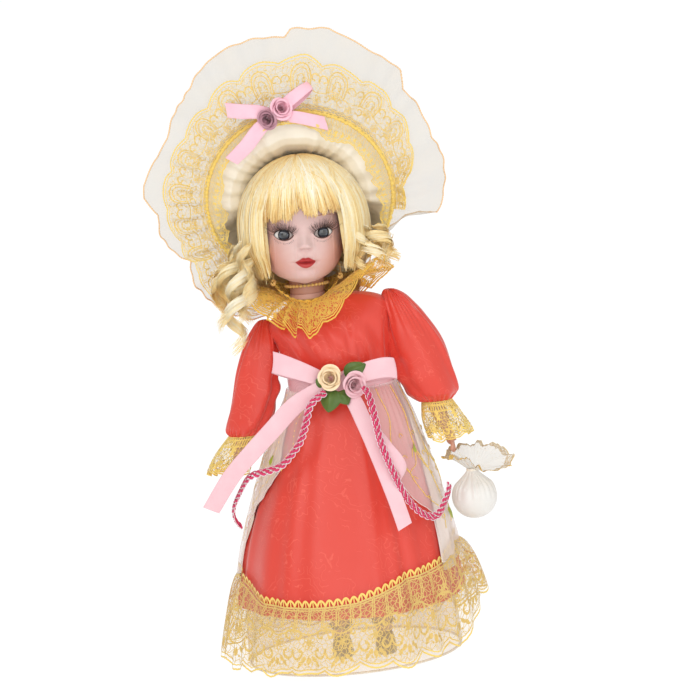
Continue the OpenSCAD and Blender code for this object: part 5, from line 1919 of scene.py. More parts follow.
# ================================================================== ROSES, LEAVES
def rose(b, c, R, nrm, seed, petals=8, depth=0.95):
    """Folded satin rose: a tight spiral bud inside overlapping rolled petals."""
    rr = np.random.default_rng(seed)
    n = np.asarray(nrm, float) / np.linalg.norm(nrm)
    e1 = np.cross(n, [0.1, 0.2, 1.0])
    e1 /= np.linalg.norm(e1)
    e2 = np.cross(n, e1)
    c = np.asarray(c, float)

    def place(x, y, z):
        return c + x[..., None] * e1 + y[..., None] * e2 + z[..., None] * n
    # bud
    th = np.linspace(0, 2 * pi * 2.6, 90)
    v = np.linspace(0, 1, 8)
    T, V = np.meshgrid(th, v, indexing="ij")
    r = R * (0.06 + 0.26 * T / th[-1]) * (0.8 + 0.2 * V) + R * 0.05 * V ** 3
    z = R * (-0.45 + (0.95 - 0.13 * T / th[-1]) * V) * depth
    b.add(place(r * np.cos(T), r * np.sin(T), z).reshape(-1, 3), gridfaces(90, 8))
    for i in range(petals):
        f = (i + 1) / petals
        th0 = 2.399963 * i + rr.uniform(-0.2, 0.2)
        sp = rad(118 - 34 * f)
        u = np.linspace(-1, 1, 26)
        v = np.linspace(0, 1, 12)
        Ug, Vg = np.meshgrid(u, v, indexing="ij")
        ri = R * (0.36 + 0.62 * f ** 0.9)
        roll = sstep(Vg, 0.72, 1.0)
        rd = ri * (0.52 + 0.48 * Vg ** 0.7) * (1 - 0.20 * np.abs(Ug) ** 2.4) + ri * 0.20 * roll * (1 - Ug ** 2)
        hh = R * depth * (-0.5 + (1.10 - 0.62 * f) * Vg * (1 - 0.35 * np.abs(Ug) ** 2.0)) - R * 0.12 * roll ** 2 * (1 - Ug ** 2)
        tt = th0 + Ug * sp + 0.05 * rr.normal()
        b.add(place(rd * np.cos(tt), rd * np.sin(tt), hh).reshape(-1, 3), gridfaces(26, 12))
        # folded back of the rim
        rim = Vg * 0.9
        rd2 = rd[:, -1:] - ri * 0.10 * rim + 0 * rd
        hh2 = hh[:, -1:] - R * 0.20 * rim + 0 * hh
        b.add(place(rd2 * np.cos(tt), rd2 * np.sin(tt), hh2).reshape(-1, 3), gridfaces(26, 12))


def leaf(b, base, tip, nrm, w, fold=0.35):
    """A leaf folded from a green ribbon, pointed at the tip and pinched at the base."""
    base, tip, nrm = (np.asarray(v, float) for v in (base, tip, nrm))
    d = tip - base
    L = np.linalg.norm(d)
    d = d / L
    n = nrm - d * np.dot(nrm, d)
    n /= np.linalg.norm(n)
    s = np.cross(d, n)
    x = np.linspace(0, 1, 22)
    y = np.linspace(-1, 1, 15)
    X, Y = np.meshgrid(x, y, indexing="ij")
    wid = w * np.sin(pi * np.clip(X, 0, 1) ** 0.75) ** 0.7 * (1 - 0.12 * X) + 0.5 * (1 - X)
    h = w * (0.55 * (1 - np.abs(Y) ** 1.2) * np.sin(pi * X) * 0.8 + 0.30 * fold * np.cos(Y * 7.0) * np.sin(pi * X) * (1 - X))
    P = base + (X * L)[..., None] * d + (Y * wid)[..., None] * s + h[..., None] * n
    b.add(P.reshape(-1, 3), gridfaces(22, 15))
    # turned-over edges meeting at the tip
    for sg in (-1, 1):
        k = np.linspace(0, 1, 7)
        X2, K = np.meshgrid(x, k, indexing="ij")
        wid2 = w * np.sin(pi * np.clip(X2, 0, 1) ** 0.75) ** 0.7 * (1 - 0.12 * X2) + 0.5 * (1 - X2)
        Y2 = sg * (1 - 0.7 * K)
        h2 = w * (0.55 * (1 - np.abs(Y2) ** 1.2) * np.sin(pi * X2) * 0.8) - 0.25 - 0.4 * K
        P = base + (X2 * L)[..., None] * d + (Y2 * wid2)[..., None] * s + h2[..., None] * n
        b.add(P.reshape(-1, 3), gridfaces(22, 7))


def build_bow():
    def pxp(pts):
        # the bow sits close on the sash; its tails follow the skirt lower down
        return place([(u, v, y + 4.2 * min(1.0, max(0.0, (440 - v) / 50.0))) for u, v, y in pts])
    # loops: out along the front, round the end and back behind
    b = Bag()
    L = pxp([(326, 380, -34), (305, 372, -37.5), (283, 364.5, -37.5), (271.5, 361.5, -34.5), (283, 366, -30.5), (305, 373, -30), (322, 380, -32)])
    Wl = [(1, 0, 8), (1.4, 0, 10.5), (1.8, 0, 12.0), (2.0, 0, 12.2), (1.8, 0, 12), (1.4, 0, 10.5), (1, 0, 8)]
    band(b, L, Wl, 14, 0.5)
    R = pxp([(340, 379, -34), (362, 371, -38), (382, 366.5, -37), (393.5, 367.5, -33.5), (382, 369, -29.5), (362, 373, -29.5), (344, 380, -32)])
    Wr = [(-1, 0, 8), (-1, 0, 10.5), (-0.8, 0, 11.6), (-0.6, 0, 12), (-0.8, 0, 11.6), (-1, 0, 10.5), (-1, 0, 8)]
    band(b, R, Wr, 14, 0.5)
    # the knot
    K = pxp([(328, 385, -31), (332, 378, -37.5), (338, 371, -31)])
    band(b, K, [(10, 0, 4), (10, 0, 4), (10, 0, 4)], 10, 0.3)
    ob = b.obj("bow_loops_satin", PINK)
    put(ob, "torso", ["bow_loops"], "pink_ribbon")
    cloth(ob, 11.5, "folded", ["waist_band_satin"])
    # tails
    b = Bag()
    T = pxp([(325, 385, -35), (313, 392, -37.5), (293, 405, -39), (272, 428, -40.5), (252, 450, -41.5), (231, 475, -41), (211, 508, -38)])
    Wt = [(4.6, 1, -8.2), (5.8, 1, -8.6), (7.2, 1, -7.6), (7.8, 1, -7.0), (8.2, 1.2, -6.4), (8.4, 1.0, -5.6), (8.6, 1, -4.6)]
    band(b, T, Wt, 14, 0.45, 9)
    ob = b.obj("bow_tail_right_satin", PINK)
    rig.replaces(ob, "bow_tails")
    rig.slot(ob, "pink_ribbon")
    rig.blend(ob, "torso", "arm_right", tuple(W([(-22, -40, 138)])[0]), tuple(W([(-62, -40, 110)])[0]))
    cloth(ob, 11, "hung", ["waist_band_satin"])
    b = Bag()
    T = pxp([(344, 387, -35.5), (354, 403, -41), (361, 418, -44.5), (369, 436, -47.5), (380.5, 464, -52), (393, 496, -57.5), (402.5, 523, -61)])
    Wt = [(7, 0.5, 3.4), (8.0, 1.2, 4.6), (8.4, 1.6, 3.6), (8.4, 1.8, 3.2), (8.2, 2.2, 3.2), (8.0, 2.4, 3.4), (8.0, 2.4, 3.6)]
    band(b, T, Wt, 14, 0.4, 9)
    E = pxp([(372, 428, -45), (384, 444, -49.5), (396, 459, -50.5), (401, 470, -49), (397, 478, -48)])
    band(b, E, [(6, 1, 2), (6.5, 1, 2.4), (6, 1, 3.2), (3.6, 3, 3.6), (2.4, 3, 3)], 10, 0.4)
    ob = b.obj("bow_tail_left_satin", PINK)
    put(ob, "torso", (), "pink_ribbon")
    cloth(ob, 10, "hung", ["waist_band_satin"])
    # roses and leaves
    b = Bag()
    c = pxp([(328, 377, -40.5)])[0]
    rose(b, c, 7.0, (-0.10, -1.0, 0.22), 4, 8)
    ob = b.obj("rose_cream_satin", CREAM)
    put(ob, "torso", ["rose_cream"], "cream_ribbon")
    cloth(ob, 12, "folded", ["bow_loops_satin"])
    b = Bag()
    c = pxp([(353, 384, -41.5)])[0]
    rose(b, c, 7.2, (0.25, -1.0, -0.05), 9, 8)
    ob = b.obj("rose_pink_satin", PINK)
    put(ob, "torso", ["rose_pink"], "pink_ribbon")
    cloth(ob, 12, "folded", ["bow_loops_satin"])
    b = Bag()
    B = pxp([(331, 388, -38), (327, 411, -41), (338, 390, -38.5), (347, 403, -41.5), (343, 374, -36.5), (364, 363, -38.5), (322, 385, -37), (315, 378, -37)])
    leaf(b, B[0], B[1], (-0.2, -1, 0.1), 6.4)
    leaf(b, B[2], B[3], (0.3, -1, -0.1), 4.6)
    leaf(b, B[4], B[5], (0.1, -1, 0.3), 5.0)
    leaf(b, B[6], B[7], (-0.3, -1, 0.2), 3.0)
    ob = b.obj("rose_leaves_satin", LEAF)
    put(ob, "torso", ["rose_leaves"], "leaf_ribbon")
    cloth(ob, 13, "folded", ["bow_loops_satin"])


build_bow()


# ------------------------------------------------------------------ gimp braids
def skirt_push(P, gap):
    """Keeps a route at least gap mm outside the overskirt."""
    P = P.copy()
    zz = np.linspace(0, 1, 200)
    Zt = ringrow(SK, np.zeros(200), zz)
    for i, p in enumerate(P):
        t = np.interp(p[2], Zt[:, 2], zz)
        cx = np.interp(p[2], Zt[:, 2], rows_at(SK, zz * (len(SK) - 1))[:, 0])
        a = math.atan2(p[1], p[0] - cx)
        for _ in range(3):
            q = skirt_surf(np.array([a]), np.array([t]))[0]
            need = math.hypot(q[0] - cx, q[1]) + gap
            have = math.hypot(p[0] - cx, p[1])
            break
        if have < need:
            P[i, 0] = cx + (p[0] - cx) * need / have
            P[i, 1] = p[1] * need / have
    return P


def gimp(name, node, route):
    P = catmull(route, 60)
    d = np.concatenate([[0], np.cumsum(np.linalg.norm(np.diff(P, axis=0), axis=1))])
    n = int(d[-1] / 0.28)
    s = np.linspace(0, d[-1], n)
    P = np.stack([np.interp(s, d, P[:, k]) for k in range(3)], -1)
    P = skirt_push(P, 5.2)
    k = np.ones(25) / 25
    Q = P.copy()
    for j in range(3):
        Q[12:-12, j] = np.convolve(P[:, j], k, "valid")
    P = Q
    d = np.concatenate([[0], np.cumsum(np.linalg.norm(np.diff(P, axis=0), axis=1))])
    T = np.gradient(P, axis=0)
    T /= np.linalg.norm(T, axis=1, keepdims=True)
    out = np.stack([P[:, 0] - 8, P[:, 1], np.full(len(P), 22.0)], -1)
    N = out - T * np.sum(out * T, 1, keepdims=True)
    N /= np.linalg.norm(N, axis=1, keepdims=True)
    B = np.cross(T, N)
    pitch = 8.2
    w = 2 * pi * d / pitch
    b = Bag()
    for ph in (0, pi):
        for q, rr in ((0.0, 0.62), (0.42, 0.36), (-0.42, 0.36)):
            off = B * (1.35 * np.sin(w + ph) + q)[:, None] + N * (0.5 * np.cos(w + ph))[:, None]
            b.tube(P + off, rr, 6)
    sv = Bag()
    for sg in (-1, 1):
        u = d / pitch * 2 + (0.5 if sg > 0 else 0)
        arc = np.abs(np.sin(pi * u)) ** 0.7
        off = B * (sg * (1.2 + 1.15 * arc))[:, None] + N * (0.15 * np.cos(2 * pi * u))[:, None]
        sv.tube(P + off, 0.24, 5)
        b.tube(P + B * (sg * (0.95 + 0.85 * arc))[:, None], 0.40, 5)
    for ph in (pi / 2, 3 * pi / 2):
        sv.tube(P + B * (1.35 * np.sin(w + ph))[:, None] + N * (0.5 * np.cos(w + ph) + 0.55)[:, None], 0.2, 4)
    ob = b.obj(name, BRAID)
    put(ob, "torso", [node], "braid")
    so = sv.obj(name + "_silver", SILVER)
    put(so, "torso")
    path = W(P[::4])
    length = float(np.linalg.norm(np.diff(W(P), axis=0), axis=1).sum())
    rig.cord(ob, exit=tuple(W(P[:1])[0]), length=round(length, 4), diameter=0.0050, far_end="object", stiffness="limp", lay="hanging",
            path=[tuple(p) for p in path], with_pieces=[so])
    return length


BR_L = pxp([(362, 386, -38), (367, 394, -43), (371, 408, -48), (374, 421, -50.5), (378, 438, -53), (384.6, 455, -54.5), (391, 469, -55), (397, 482, -55), (403, 493, -54),
            (410.5, 502.5, -52), (419, 510, -49), (429, 514, -45), (436.5, 511, -41), (441.6, 500.5, -36), (446, 490, -31), (447, 482, -27)])
BR_R = pxp([(324, 391, -36), (314, 398, -39.5), (308, 406, -41), (306, 417, -42), (303, 429, -43), (299.5, 440, -43.5), (292, 451, -43.5), (284, 461, -43),
            (274, 467, -42), (261, 470.5, -40), (250, 474, -37), (244.7, 480, -34), (239.6, 490, -30), (234.5, 500.5, -26), (232, 511, -22), (234.5, 520, -18), (240, 526, -15)])
LEN_L = gimp("gimp_braid_left", "braid_left", BR_L)
LEN_R = gimp("gimp_braid_right", "braid_right", BR_R)

# ================================================================== ARMS
SL_L = [[66, -3, 146.5, 9.6, 9.2], [65.6, -3, 149, 12.4, 11.6], [64.4, -3, 153, 15.6, 13.8], [61, -2, 165, 17, 15.6], [57.4, -1, 182, 16.2, 15], [53, 1, 197, 12, 12], [48.5, 2, 208, 7.8, 8.5], [46, 2, 213, 3.6, 4.4], [45, 2, 214.2, 0.6, 0.8]]
SL_R = [[-47, -2, 137.4, 9.6, 9.2], [-46, -2, 140, 12.2, 11.4], [-44.3, -2, 144.5, 13.2, 13], [-39.5, -1, 157, 13.6, 14], [-35.5, 0, 175, 12.6, 13.4], [-32.6, 1, 190, 9.4, 11], [-30.6, 2, 199, 5.6, 7], [-29.8, 2, 202.6, 2.8, 3.8], [-29.4, 2, 203.6, 0.5, 0.6]]


def sleeve(rows, seed, side):
    def f(a, t):
        P = ringrow(rows, a, t)
        k = 0.85 * pleats(a, 20, seed, 0.7) * sstep(t, 0.45, 0.95) * (1 - sstep(t, 0.95, 1.0))
        k = k + 0.95 * pleats(a, 24, seed + 3, 0.6) * (1 - sstep(t, 0.03, 0.28))
        k = k + 1.15 * pleats(a + side * 1.4 * t, 6, seed + 6, 0.9) * np.sin(pi * np.clip(t, 0, 1))
        k = k - 1.3 * gau(np.mod(a - (pi if side > 0 else 0) + pi, 2 * pi) - pi, 0.7) * np.cos((P[:, 2] - 170) * 0.42) * gau(P[:, 2] - 166, 12)
        d = np.stack([np.cos(a), np.sin(a), 0 * a], -1)
        return P + d * k[:, None]
    return f


def cuff_surf(rows, seed):
    def f(a, t):
        P = ringrow(rows, a, 1 - t)
        g = pleats(a, 9, seed, 0.9)
        d = np.stack([np.cos(a), np.sin(a), 0 * a], -1)
        P = P + d * (1.9 * g * sstep(t, 0.05, 1))[:, None]
        P[:, 2] += 1.6 * np.sin(a * 2 + seed) * t ** 2 + 1.0 * g * t ** 2
        return P
    return f


def hand(rows, tipdir, spread, seed, name, node, body):
    b = Bag()
    col = np.array(lin((206, 150, 126))[:3])
    a, q = np.meshgrid(np.linspace(0, 2 * pi, 64, endpoint=False), np.linspace(0, 1, 60))
    R = rows[2:]
    b.add(ringrow(R, a.ravel(), q.ravel()), gridfaces(60, 64, True), col)
    top = rows_at(R, [len(R) - 1])[0]
    V, F = sphere_vf((top[0], top[1], top[2]), (top[3], top[4], 1.6), 32, 12)
    b.add(V, F, col)
    palm = np.array(rows[3][:3], float)
    V, F = sphere_vf(palm + np.array([0, 0, -1.5]), (2.5, 4.4, 4.6), 36, 20)
    b.add(V, F, col)
    td = np.asarray(tipdir, float)
    sp = np.asarray(spread, float)
    for i, (o, ln, bend) in enumerate(((-1.5, 7.6, 1.0), (-0.5, 8.8, 0.5), (0.5, 8.4, 0.2), (1.45, 7.0, 0.5))):
        base = palm + sp * o * 1.95 + td * 2.2
        P = [base, base + td * ln * 0.42 + sp * 0.12 * o, base + td * ln * 0.75 + sp * 0.16 * o + np.array([-0.7 * bend, 0, 0]),
             base + td * ln * 1.0 + sp * 0.12 * o + np.array([-1.8 * bend, 0, 0])]
        Q = catmull(P, 8)
        u = np.linspace(0, 1, len(Q))
        b.tube(Q, (1.22 - 0.30 * u) * np.sqrt(np.clip(1 - np.clip((u - 0.86) / 0.14, 0, 1) ** 2 * 0.93, 0.02, 1)), 14, col)
    th = palm + sp * -1.9 + np.array([-0.6, 0, 1.0])
    P = [th, th + sp * -1.5 + td * 2.2, th + sp * -1.7 + td * 4.6]
    Q = catmull(P, 8)
    u = np.linspace(0, 1, len(Q))
    b.tube(Q, (1.45 - 0.4 * u) * np.sqrt(np.clip(1 - np.clip((u - 0.85) / 0.15, 0, 1) ** 2 * 0.93, 0.02, 1)), 14, col)
    ob = b.obj(name, SKIN)
    put(ob, body, [node], "porcelain")


def build_arms():
    for side, rows, arm in ((1, SL_L, "left"), (-1, SL_R, "right")):
        sf = sleeve(rows, 151 if side > 0 else 171, side)
        fold_sheet("sleeve_satin_" + arm, sf, 0, 2 * pi, 300, 130, CORAL, 78, ["upper_arm_" + arm], (), "arm_" + arm, ["sleeve_" + arm], "coral_satin")
    CU_L = [[73, -7.5, 124.5, 12.8, 12.2], [71.4, -6.4, 130, 12.9, 12.2], [69, -5, 137, 12.0, 11.6], [66.6, -3.4, 146.4, 8.8, 8.4]]
    CU_R = [[-59.5, -3, 115.5, 11.6, 11.4], [-57.4, -3, 121, 11.8, 11.6], [-54, -3, 128, 11.4, 11.2], [-48.2, -2, 137.4, 8.8, 8.4]]
    for arm, rows, seed in (("left", CU_L, 191), ("right", CU_R, 201)):
        sf = cuff_surf(rows, seed)
        b = Bag()
        L, H = 2 * pi * 12 * 1.5, 24.0
        lc = Lace(b, sf, 0, 2 * pi, L, H, seed, 0.15, -1.0)
        lc.k = 1.25
        n = 7
        SC = L / n
        lc.edges(SC, 3.4, ((0, 0.6), (1.7, 0.45)), 1.3)
        lc.net(2.5, 2.0, 0.24, SC, 3.4, 0.5, 0.4, 2.2)
        for i in range(n):
            c = (i + 0.5) * SC
            lc.flower(c, H * 0.58, 3.6, 6, True)
            for sg in (-1, 1):
                lc.scroll(c + sg * SC * 0.32, H * 0.66, 3.0, pi / 2 - sg * 2, sg * 4.6, 0.7)
                lc.petal(c + sg * 1.8, H * 0.76, pi / 2 - sg * 0.7, 6, 3.0, 1.2)
            lc.flower(c + SC / 2, H * 0.28, 2.8, 6, True)
        for x in np.arange(0, L, 2.7):
            lc.line(np.full(5, x), np.linspace(0.4, H * 0.2, 5), 0.4)
        for t in (0.5, 2.0, H * 0.2):
            s = np.linspace(0, L, 200)
            lc.line(s, t + 0.2 * np.sin(s * 2), 0.5)
        lp = b.obj("cuff_lace_gold_" + arm, GOLD)
        put(lp, "arm_" + arm, ["cuff_lace_" + arm], "gold_lace")
        P, F = sheetgrid(sf, 0, 2 * pi, 200, 18, 0, 0.9)
        ob = mesh("cuff_net_" + arm, P, F, NETG)
        put(ob, "arm_" + arm)
        cloth(ob, 21, "gathered", ["forearm_" + arm], [lp])
    hand([[74.2, -11.5, 117.2, 1.6, 2.8], [73.4, -10.5, 120, 2.6, 4.4], [72.8, -9.6, 122.5, 2.9, 4.5], [72, -9, 126, 3.1, 4.3], [70, -7, 131, 3.4, 3.6], [67.5, -5, 138, 4.8, 4.8], [65, -3.2, 149, 5.2, 5.2], [64.5, -3, 152, 4, 4]],
         (0.22, -0.16, -0.96), (0.1, 0.97, -0.1), 5, "hand_left_bisque", "forearm_left", "forearm_left")
    hand([[-58, -4, 111.5, 1.6, 2.8], [-57.2, -4, 114, 2.4, 4], [-56.4, -4, 116.2, 2.8, 4.3], [-55.5, -4, 118.5, 3, 4.2], [-53, -4, 123, 3.4, 3.6], [-50, -3, 130, 4.6, 4.6], [-47, -2, 140, 5, 5], [-46, -2, 143, 4, 4]],
         (-0.22, -0.06, -0.97), (-0.1, 0.97, 0.0), 6, "hand_right_bisque", "forearm_right", "forearm_right")


build_arms()


# ================================================================== HAT BOW AND ROSES
def build_hat_bow():
    b = Bag()
    y = -11.0
    C = pxp([(275, 117, y)])[0]
    # flat cut end, image left
    T = pxp([(274, 117, y - 1), (258, 114.5, y - 3.2), (241, 114, y - 2.4), (226, 112.5, y + 0.5)])
    band(b, T, [(0.6, 0, 6.4), (0.8, 0.3, 7.6), (0.6, 0.5, 8.2), (-0.6, 0.8, 8.4)], 12, 0.3)
    # hanging tail, down and left
    T = pxp([(272, 119, y - 1), (259, 131, y - 2.6), (246, 148, y - 2.4), (231, 162.5, y)])
    band(b, T, [(5.0, 0.3, -4.4), (6.2, 0.6, -5.2), (6.4, 0.8, -5.4), (6.4, 1.0, -4.6)], 12, 0.3)
    # folded loop, up and right
    T = pxp([(277, 114, y - 1), (289, 103, y - 3.4), (301, 93.5, y - 3.2), (309, 88, y - 0.6), (303, 95, y + 1.2), (290, 106, y + 1.0), (279, 115, y + 0.4)])
    band(b, T, [(-3, 0.4, 5.4), (-3.4, 0.8, 6.0), (-3.2, 1.4, 5.4), (-2.6, 2.2, 4.4), (-3.2, 1.4, 5.6), (-3.4, 0.8, 6.4), (-3, 0.4, 5.6)], 12, 0.35)
    # cut end, right
    T = pxp([(279, 118, y - 1), (295, 119.5, y - 3.0), (311, 122.5, y - 2.4), (325, 125.5, y + 0.2)])
    band(b, T, [(-0.6, 0.2, 6.0), (-0.8, 0.4, 7.2), (-1.2, 0.6, 7.6), (-1.6, 0.8, 8.0)], 12, 0.3)
    band(b, pxp([(270, 122, y + 1), (276, 117, y - 4.4), (283, 112, y + 1)]), [(4, 0, 4), (4, 0, 4), (4, 0, 4)], 8, 0.3)
    ob = b.obj("hat_bow_satin", PINK_H)
    put(ob, "hat", ["hat_bow"], "pink_ribbon")
    cloth(ob, 10, "folded", ["hat_ring_casing"])
    for name, node, px, r, nrm, mat, slot, seed in (("hat_rose_mauve_satin", "hat_rose_mauve", (266.5, 122, y - 5.5), 5.8, (-0.25, -1, -0.1), MAUVE, "mauve_ribbon", 14),
                                                    ("hat_rose_pink_satin", "hat_rose_pink", (281, 110.5, y - 5.0), 6.4, (0.15, -1, 0.2), PINK_H, "pink_ribbon", 22)):
        b = Bag()
        rose(b, pxp([px])[0], r, nrm, seed, 7)
        ob = b.obj(name, mat)
        put(ob, "hat", [node], slot)
        cloth(ob, 11, "folded", ["hat_bow_satin"])


build_hat_bow()


# ================================================================== BAG
def build_bag():
    cx, cy, cz = 83.0, -9.0, 88.0

    def pouch(a, t):
        # t 0 at the bottom, 1 at the tied neck
        th = pi * (1 - 0.90 * t)
        r = 12.6 * np.sin(th) * (t < 2)
        z = -12.6 * np.cos(pi - th)
        z = 12.6 * np.cos(th)
        up = sstep(t, 0.84, 1.0)
        r = r * (1 - up) + 2.7 * up
        z = z * (1 - up) + 16.4 * up
        g = pleats(a, 22, 301, 0.6)
        k = (0.055 * g * sstep(t, 0.45, 0.9) + 0.02 * pleats(a, 30, 305, 0.6) * (1 - sstep(t, 0.0, 0.4)) * np.sin(pi * t))
        r = r * (1 + k)
        return np.stack([cx + r * np.cos(a), cy + r * np.sin(a), cz + z * 0.985], -1)
    na, nt = 220, 110
    a = np.arange(na) * 2 * pi / na
    t = np.linspace(0.004, 1, nt)
    A, T = np.meshgrid(a, t)
    P = pouch(A.ravel(), T.ravel())
    V0, F0 = P, gridfaces(nt, na, True)
    b = Bag()
    b.add(V0, F0)
    ob = b.obj("bag_pouch_satin", BAGM)
    # cloth under light stuffing pressure, held at the neck and the foot
    try:
        g = ob.vertex_groups.new(name="hold")
        hold = [i for i in range(na * nt) if (i // na) >= nt - 14 or (i // na) <= 2]
        g.add(hold, 1.0, "REPLACE")
        me0 = ob.data.copy()
        # a coarser copy carries the simulation, and its movement is passed to the fine mesh
        step_a, step_t = 5, 4
        ia, it = np.arange(0, na, step_a), np.arange(0, nt, step_t)
        if it[-1] != nt - 1:
            it = np.append(it, nt - 1)
        G = P.reshape(nt, na, 3)[np.ix_(it, ia)]
        cb = Bag()
        cb.add(G.reshape(-1, 3), gridfaces(len(it), len(ia), True))
        co = cb.obj("bag_sim", BAGM)
        vg = co.vertex_groups.new(name="pin")
        rows_n = len(ia)
        vg.add([i for i in range(len(it) * rows_n) if (i // rows_n) >= len(it) - 4 or (i // rows_n) == 0], 1.0, "REPLACE")
        md = co.modifiers.new("cloth", "CLOTH")
        st = md.settings
        st.quality = 6
        st.mass = 0.15
        st.tension_stiffness = 12
        st.compression_stiffness = 8
        st.shear_stiffness = 4
        st.bending_stiffness = 0.15
        st.use_pressure = True
        st.uniform_pressure_force = 4.0
        st.vertex_group_mass = "pin"
        st.shrink_min = -0.06
        st.effector_weights.gravity = 0.0
        md.point_cache.frame_start = 1
        md.point_cache.frame_end = 20
        sc = bpy.context.scene
        for f in range(1, 21):
            sc.frame_set(f)
        dg = bpy.context.evaluated_depsgraph_get()
        ev = co.evaluated_get(dg)
        m2 = ev.to_mesh()
        Q = np.array([v.co for v in m2.vertices], float)
        ev.to_mesh_clear()
        bpy.data.objects.remove(co)
        sc.frame_set(1)
        D = Q - W(G.reshape(-1, 3))
        n = np.linalg.norm(D, axis=1, keepdims=True)
        D = D * np.minimum(1, 0.0009 / np.maximum(n, 1e-9))
        D = np.nan_to_num(D).reshape(len(it), rows_n, 3)
        # spread over the fine grid
        D = np.concatenate([D, D[:, :1]], 1)
        fa = np.arange(na) / step_a
        i0 = np.floor(fa).astype(int)
        w1 = (fa - i0)[None, :, None]
        Da = D[:, i0] * (1 - w1) + D[:, i0 + 1] * w1
        ft = np.interp(np.arange(nt), it, np.arange(len(it)))
        j0 = np.minimum(np.floor(ft).astype(int), len(it) - 2)
        w2 = (ft - j0)[:, None, None]
        Df = (Da[j0] * (1 - w2) + Da[j0 + 1] * w2).reshape(-1, 3)
        co_ = W(P) + Df
        ob.data.vertices.foreach_set("co", co_.astype(np.float32).ravel())
        ob.data.update()
        print("bag cloth moved up to", round(float(n.max()) * 1000, 2), "mm")
    except Exception as e:
        print("bag cloth skipped:", e)
    ob.vertex_groups.clear()
    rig.ride(ob, "bag")
    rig.replaces(ob, "bag_pouch", "bag_filling")
    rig.slot(ob, "ivory_satin")
    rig.padded(ob, 0.85)

    # sheer frill above the neck, in two soft lobes, with a glittering gold edge
    FA = np.radians([-180, -140, -100, -60, -20, 20, 60, 100, 140, 180])
    FR = np.array([17.5, 14, 12.5, 17, 24.5, 23, 15, 12, 14, 17.5])
    FZ = np.array([6.0, 7.5, 5.0, -3.0, -1.0, 6.5, 11, 12.5, 10, 6.0])

    def frill(a, t):
        m = np.mod(a + pi, 2 * pi) - pi
        R1, Z1 = np.interp(m, FA, FR), np.interp(m, FA, FZ)
        g = pleats(a, 10, 311, 0.9)
        R = 2.6 + (R1 - 2.6) * t * (1 + 0.08 * g * t)
        Z = 103.8 + (2.5 + Z1) * np.sin(0.5 * pi * t) ** 1.1 + 1.7 * g * t ** 1.1 + 0.5 * pleats(a, 26, 314, 0.6) * t
        return np.stack([cx + 0.6 + R * np.cos(a), cy + R * np.sin(a) * 0.85, Z], -1)
    P, F = sheetgrid(frill, 0, 2 * pi, 360, 28)
    fo = mesh("bag_frill_organza", P, F, ORG_B)
    put(fo, "bag", ["bag_frill"], "organza")
    b = Bag()
    lc = Lace(b, frill, 0, 2 * pi, 2 * pi * 17, 16.0, 12, 0.1)
    s = np.linspace(0, lc.L, 700)
    for t, w, am in ((15.8, 0.9, 0.1), (14.9, 0.5, 0.25), (14.0, 0.5, 0.3), (13.1, 0.7, 0.2)):
        lc.line(s, t + am * np.sin(s * 2.6 + t), w)
    rr = np.random.default_rng(8)
    for k in range(420):
        lc.dot(rr.uniform(0, lc.L), rr.uniform(12.9, 15.9), rr.uniform(0.25, 0.6))
    for k in range(120):
        lc.dot(rr.uniform(0, lc.L), rr.uniform(2.0, 12.0), 0.22)
    go = b.obj("bag_frill_gold_edge", GLIT)
    put(go, "bag")
    cloth(fo, 15.5, "gathered", ["bag_pouch_satin"], [go])
    # tied neck
    b = Bag()
    for k in range(3):
        aa = np.arange(48) * 2 * pi / 48
        b.tube(np.stack([cx + 2.95 * np.cos(aa), cy + 2.95 * np.sin(aa), 102.6 + 0.75 * k + 0 * aa], -1), 0.42, 6, None, True)
    ob = b.obj("bag_neck_tie", IVORY)
    put(ob, "bag")
    # ribbon from the hand to the bag
    b = Bag()
    for off in (-0.55, 0.55):
        T = np.array([[75.4, -12 + off, 117.4], [76.6, -12.0 + off, 114.5], [79.4, -10.8 + off * 0.8, 109.6], [82.2, -9.4 + off * 0.5, 104.6]])
        band(b, T, [(0.4, 1.6, 0.2), (0.5, 1.7, 0.3), (0.5, 1.6, 0.3), (0.4, 1.3, 0.2)], 8, 0.15, 5, False)
    ob = b.obj("bag_cord_satin", IVORY)
    put(ob, "bag_hanger", ["bag_cord"], "ivory_satin")


build_bag()


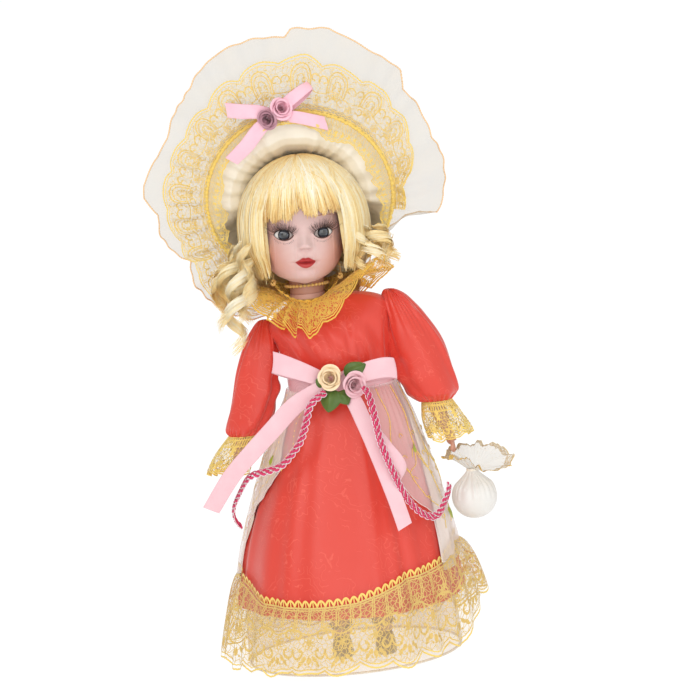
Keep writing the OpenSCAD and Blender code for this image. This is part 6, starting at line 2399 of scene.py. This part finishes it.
# ================================================================== LEGS, SHOES
def build_legs():
    for side, x0, nm in ((1, 22.0, "left"), (-1, -3.5, "right")):
        rows = [[x0, 0, 12, 5.2, 7.6], [x0, 0, 19.4, 5.0, 6.0], [x0, 0.6, 26, 4.5, 4.9], [x0, 1.0, 38, 5.6, 6.0], [x0, 1.4, 50, 7.2, 7.6], [x0, 0.8, 60, 7.0, 7.0], [x0, 0, 68, 6.6, 6.6], [x0, 0, 74.6, 7.0, 7.0]]
        a, q = np.meshgrid(np.linspace(0, 2 * pi, 80, endpoint=False), np.linspace(0, 1, 80))
        b = Bag()
        b.add(ringrow(rows, a.ravel(), q.ravel()), gridfaces(80, 80, True), np.array(lin((222, 178, 156))[:3]))
        ob = b.obj("shin_bisque_" + nm, SKIN)
        put(ob, "lower_leg_" + nm, ["shin_" + nm], "porcelain")
        # shoe: upper with a rounded toe, sole, heel and an ankle strap
        b = Bag()
        n = 44
        z = np.linspace(0, 1, 26)
        th = np.arange(n) * 2 * pi / n

        def outline(k):
            y = -8.2 + 16.6 * np.sin(th) * k
            w = 7.5 * k * np.cos(th) * (0.80 + 0.20 * np.clip(-np.sin(th), -1, 1))
            return w, y
        rr = []
        for zz in z:
            k = np.sqrt(np.clip(1 - (zz * 0.98) ** 2.6, 0, 1)) * 0.9 + 0.1
            w, y = outline(1.0)
            top = 4.6 + zz * 11.5 * (0.42 + 0.58 * sstep(y, -20, 2))
            rr.append(np.stack([x0 + w * k, y * k - 8.2 * (1 - k) + 6.0 * (1 - k), top], -1))
        b.add(np.array(rr).reshape(-1, 3), gridfaces(26, n, True))
        for z0, z1, k in ((1.7, 4.6, 1.03),):
            w, y = outline(k)
            ring = [np.stack([x0 + w * s, y * s + (1 - s) * -8.2, np.full(n, zz)], -1) for zz, s in ((z1, 0.2), (z1, 0.98), (z1 - 0.3, 1.0), (z0 + 0.3, 1.0), (z0, 0.98), (z0, 0.15))]
            b.add(np.array(ring).reshape(-1, 3), gridfaces(6, n, True, True))
        aa = np.linspace(0, 2 * pi, 60)
        b.tube(np.stack([x0 + 6.3 * np.cos(aa), 0.5 + 6.6 * np.sin(aa), 17.5 + 0.8 * np.sin(aa)], -1), 0.8, 8)
        V, F = sphere_vf((x0 + side * 6.6, -1, 17.4), (0.9, 0.9, 0.9), 14, 9)
        b.add(V, F)
        ob = b.obj("shoe_vinyl_" + nm, BLACK)
        put(ob, "lower_leg_" + nm, ["shoe_" + nm], "shoe_vinyl")


build_legs()

# ================================================================== THE REST OF THE NODES
for node, mat in (("torso_cloth", COTTON), ("thigh_left", COTTON), ("thigh_right", COTTON), ("upper_arm_left", COTTON), ("upper_arm_right", COTTON),
                  ("neck_socket", WOODM), ("neck_bolt", STEEL), ("neck_nut", STEEL), ("head_pate", IVORY)):
    me = frame["nodes"][node].data
    me.materials.clear()
    me.materials.append(mat.m)

SIZE1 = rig.bounds()


def plain(x):
    return [[float(v) for v in p] for p in x]


with open("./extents.json", "w") as f:
    json.dump({"loaded": plain(SIZE0), "finished": plain(SIZE1)}, f)
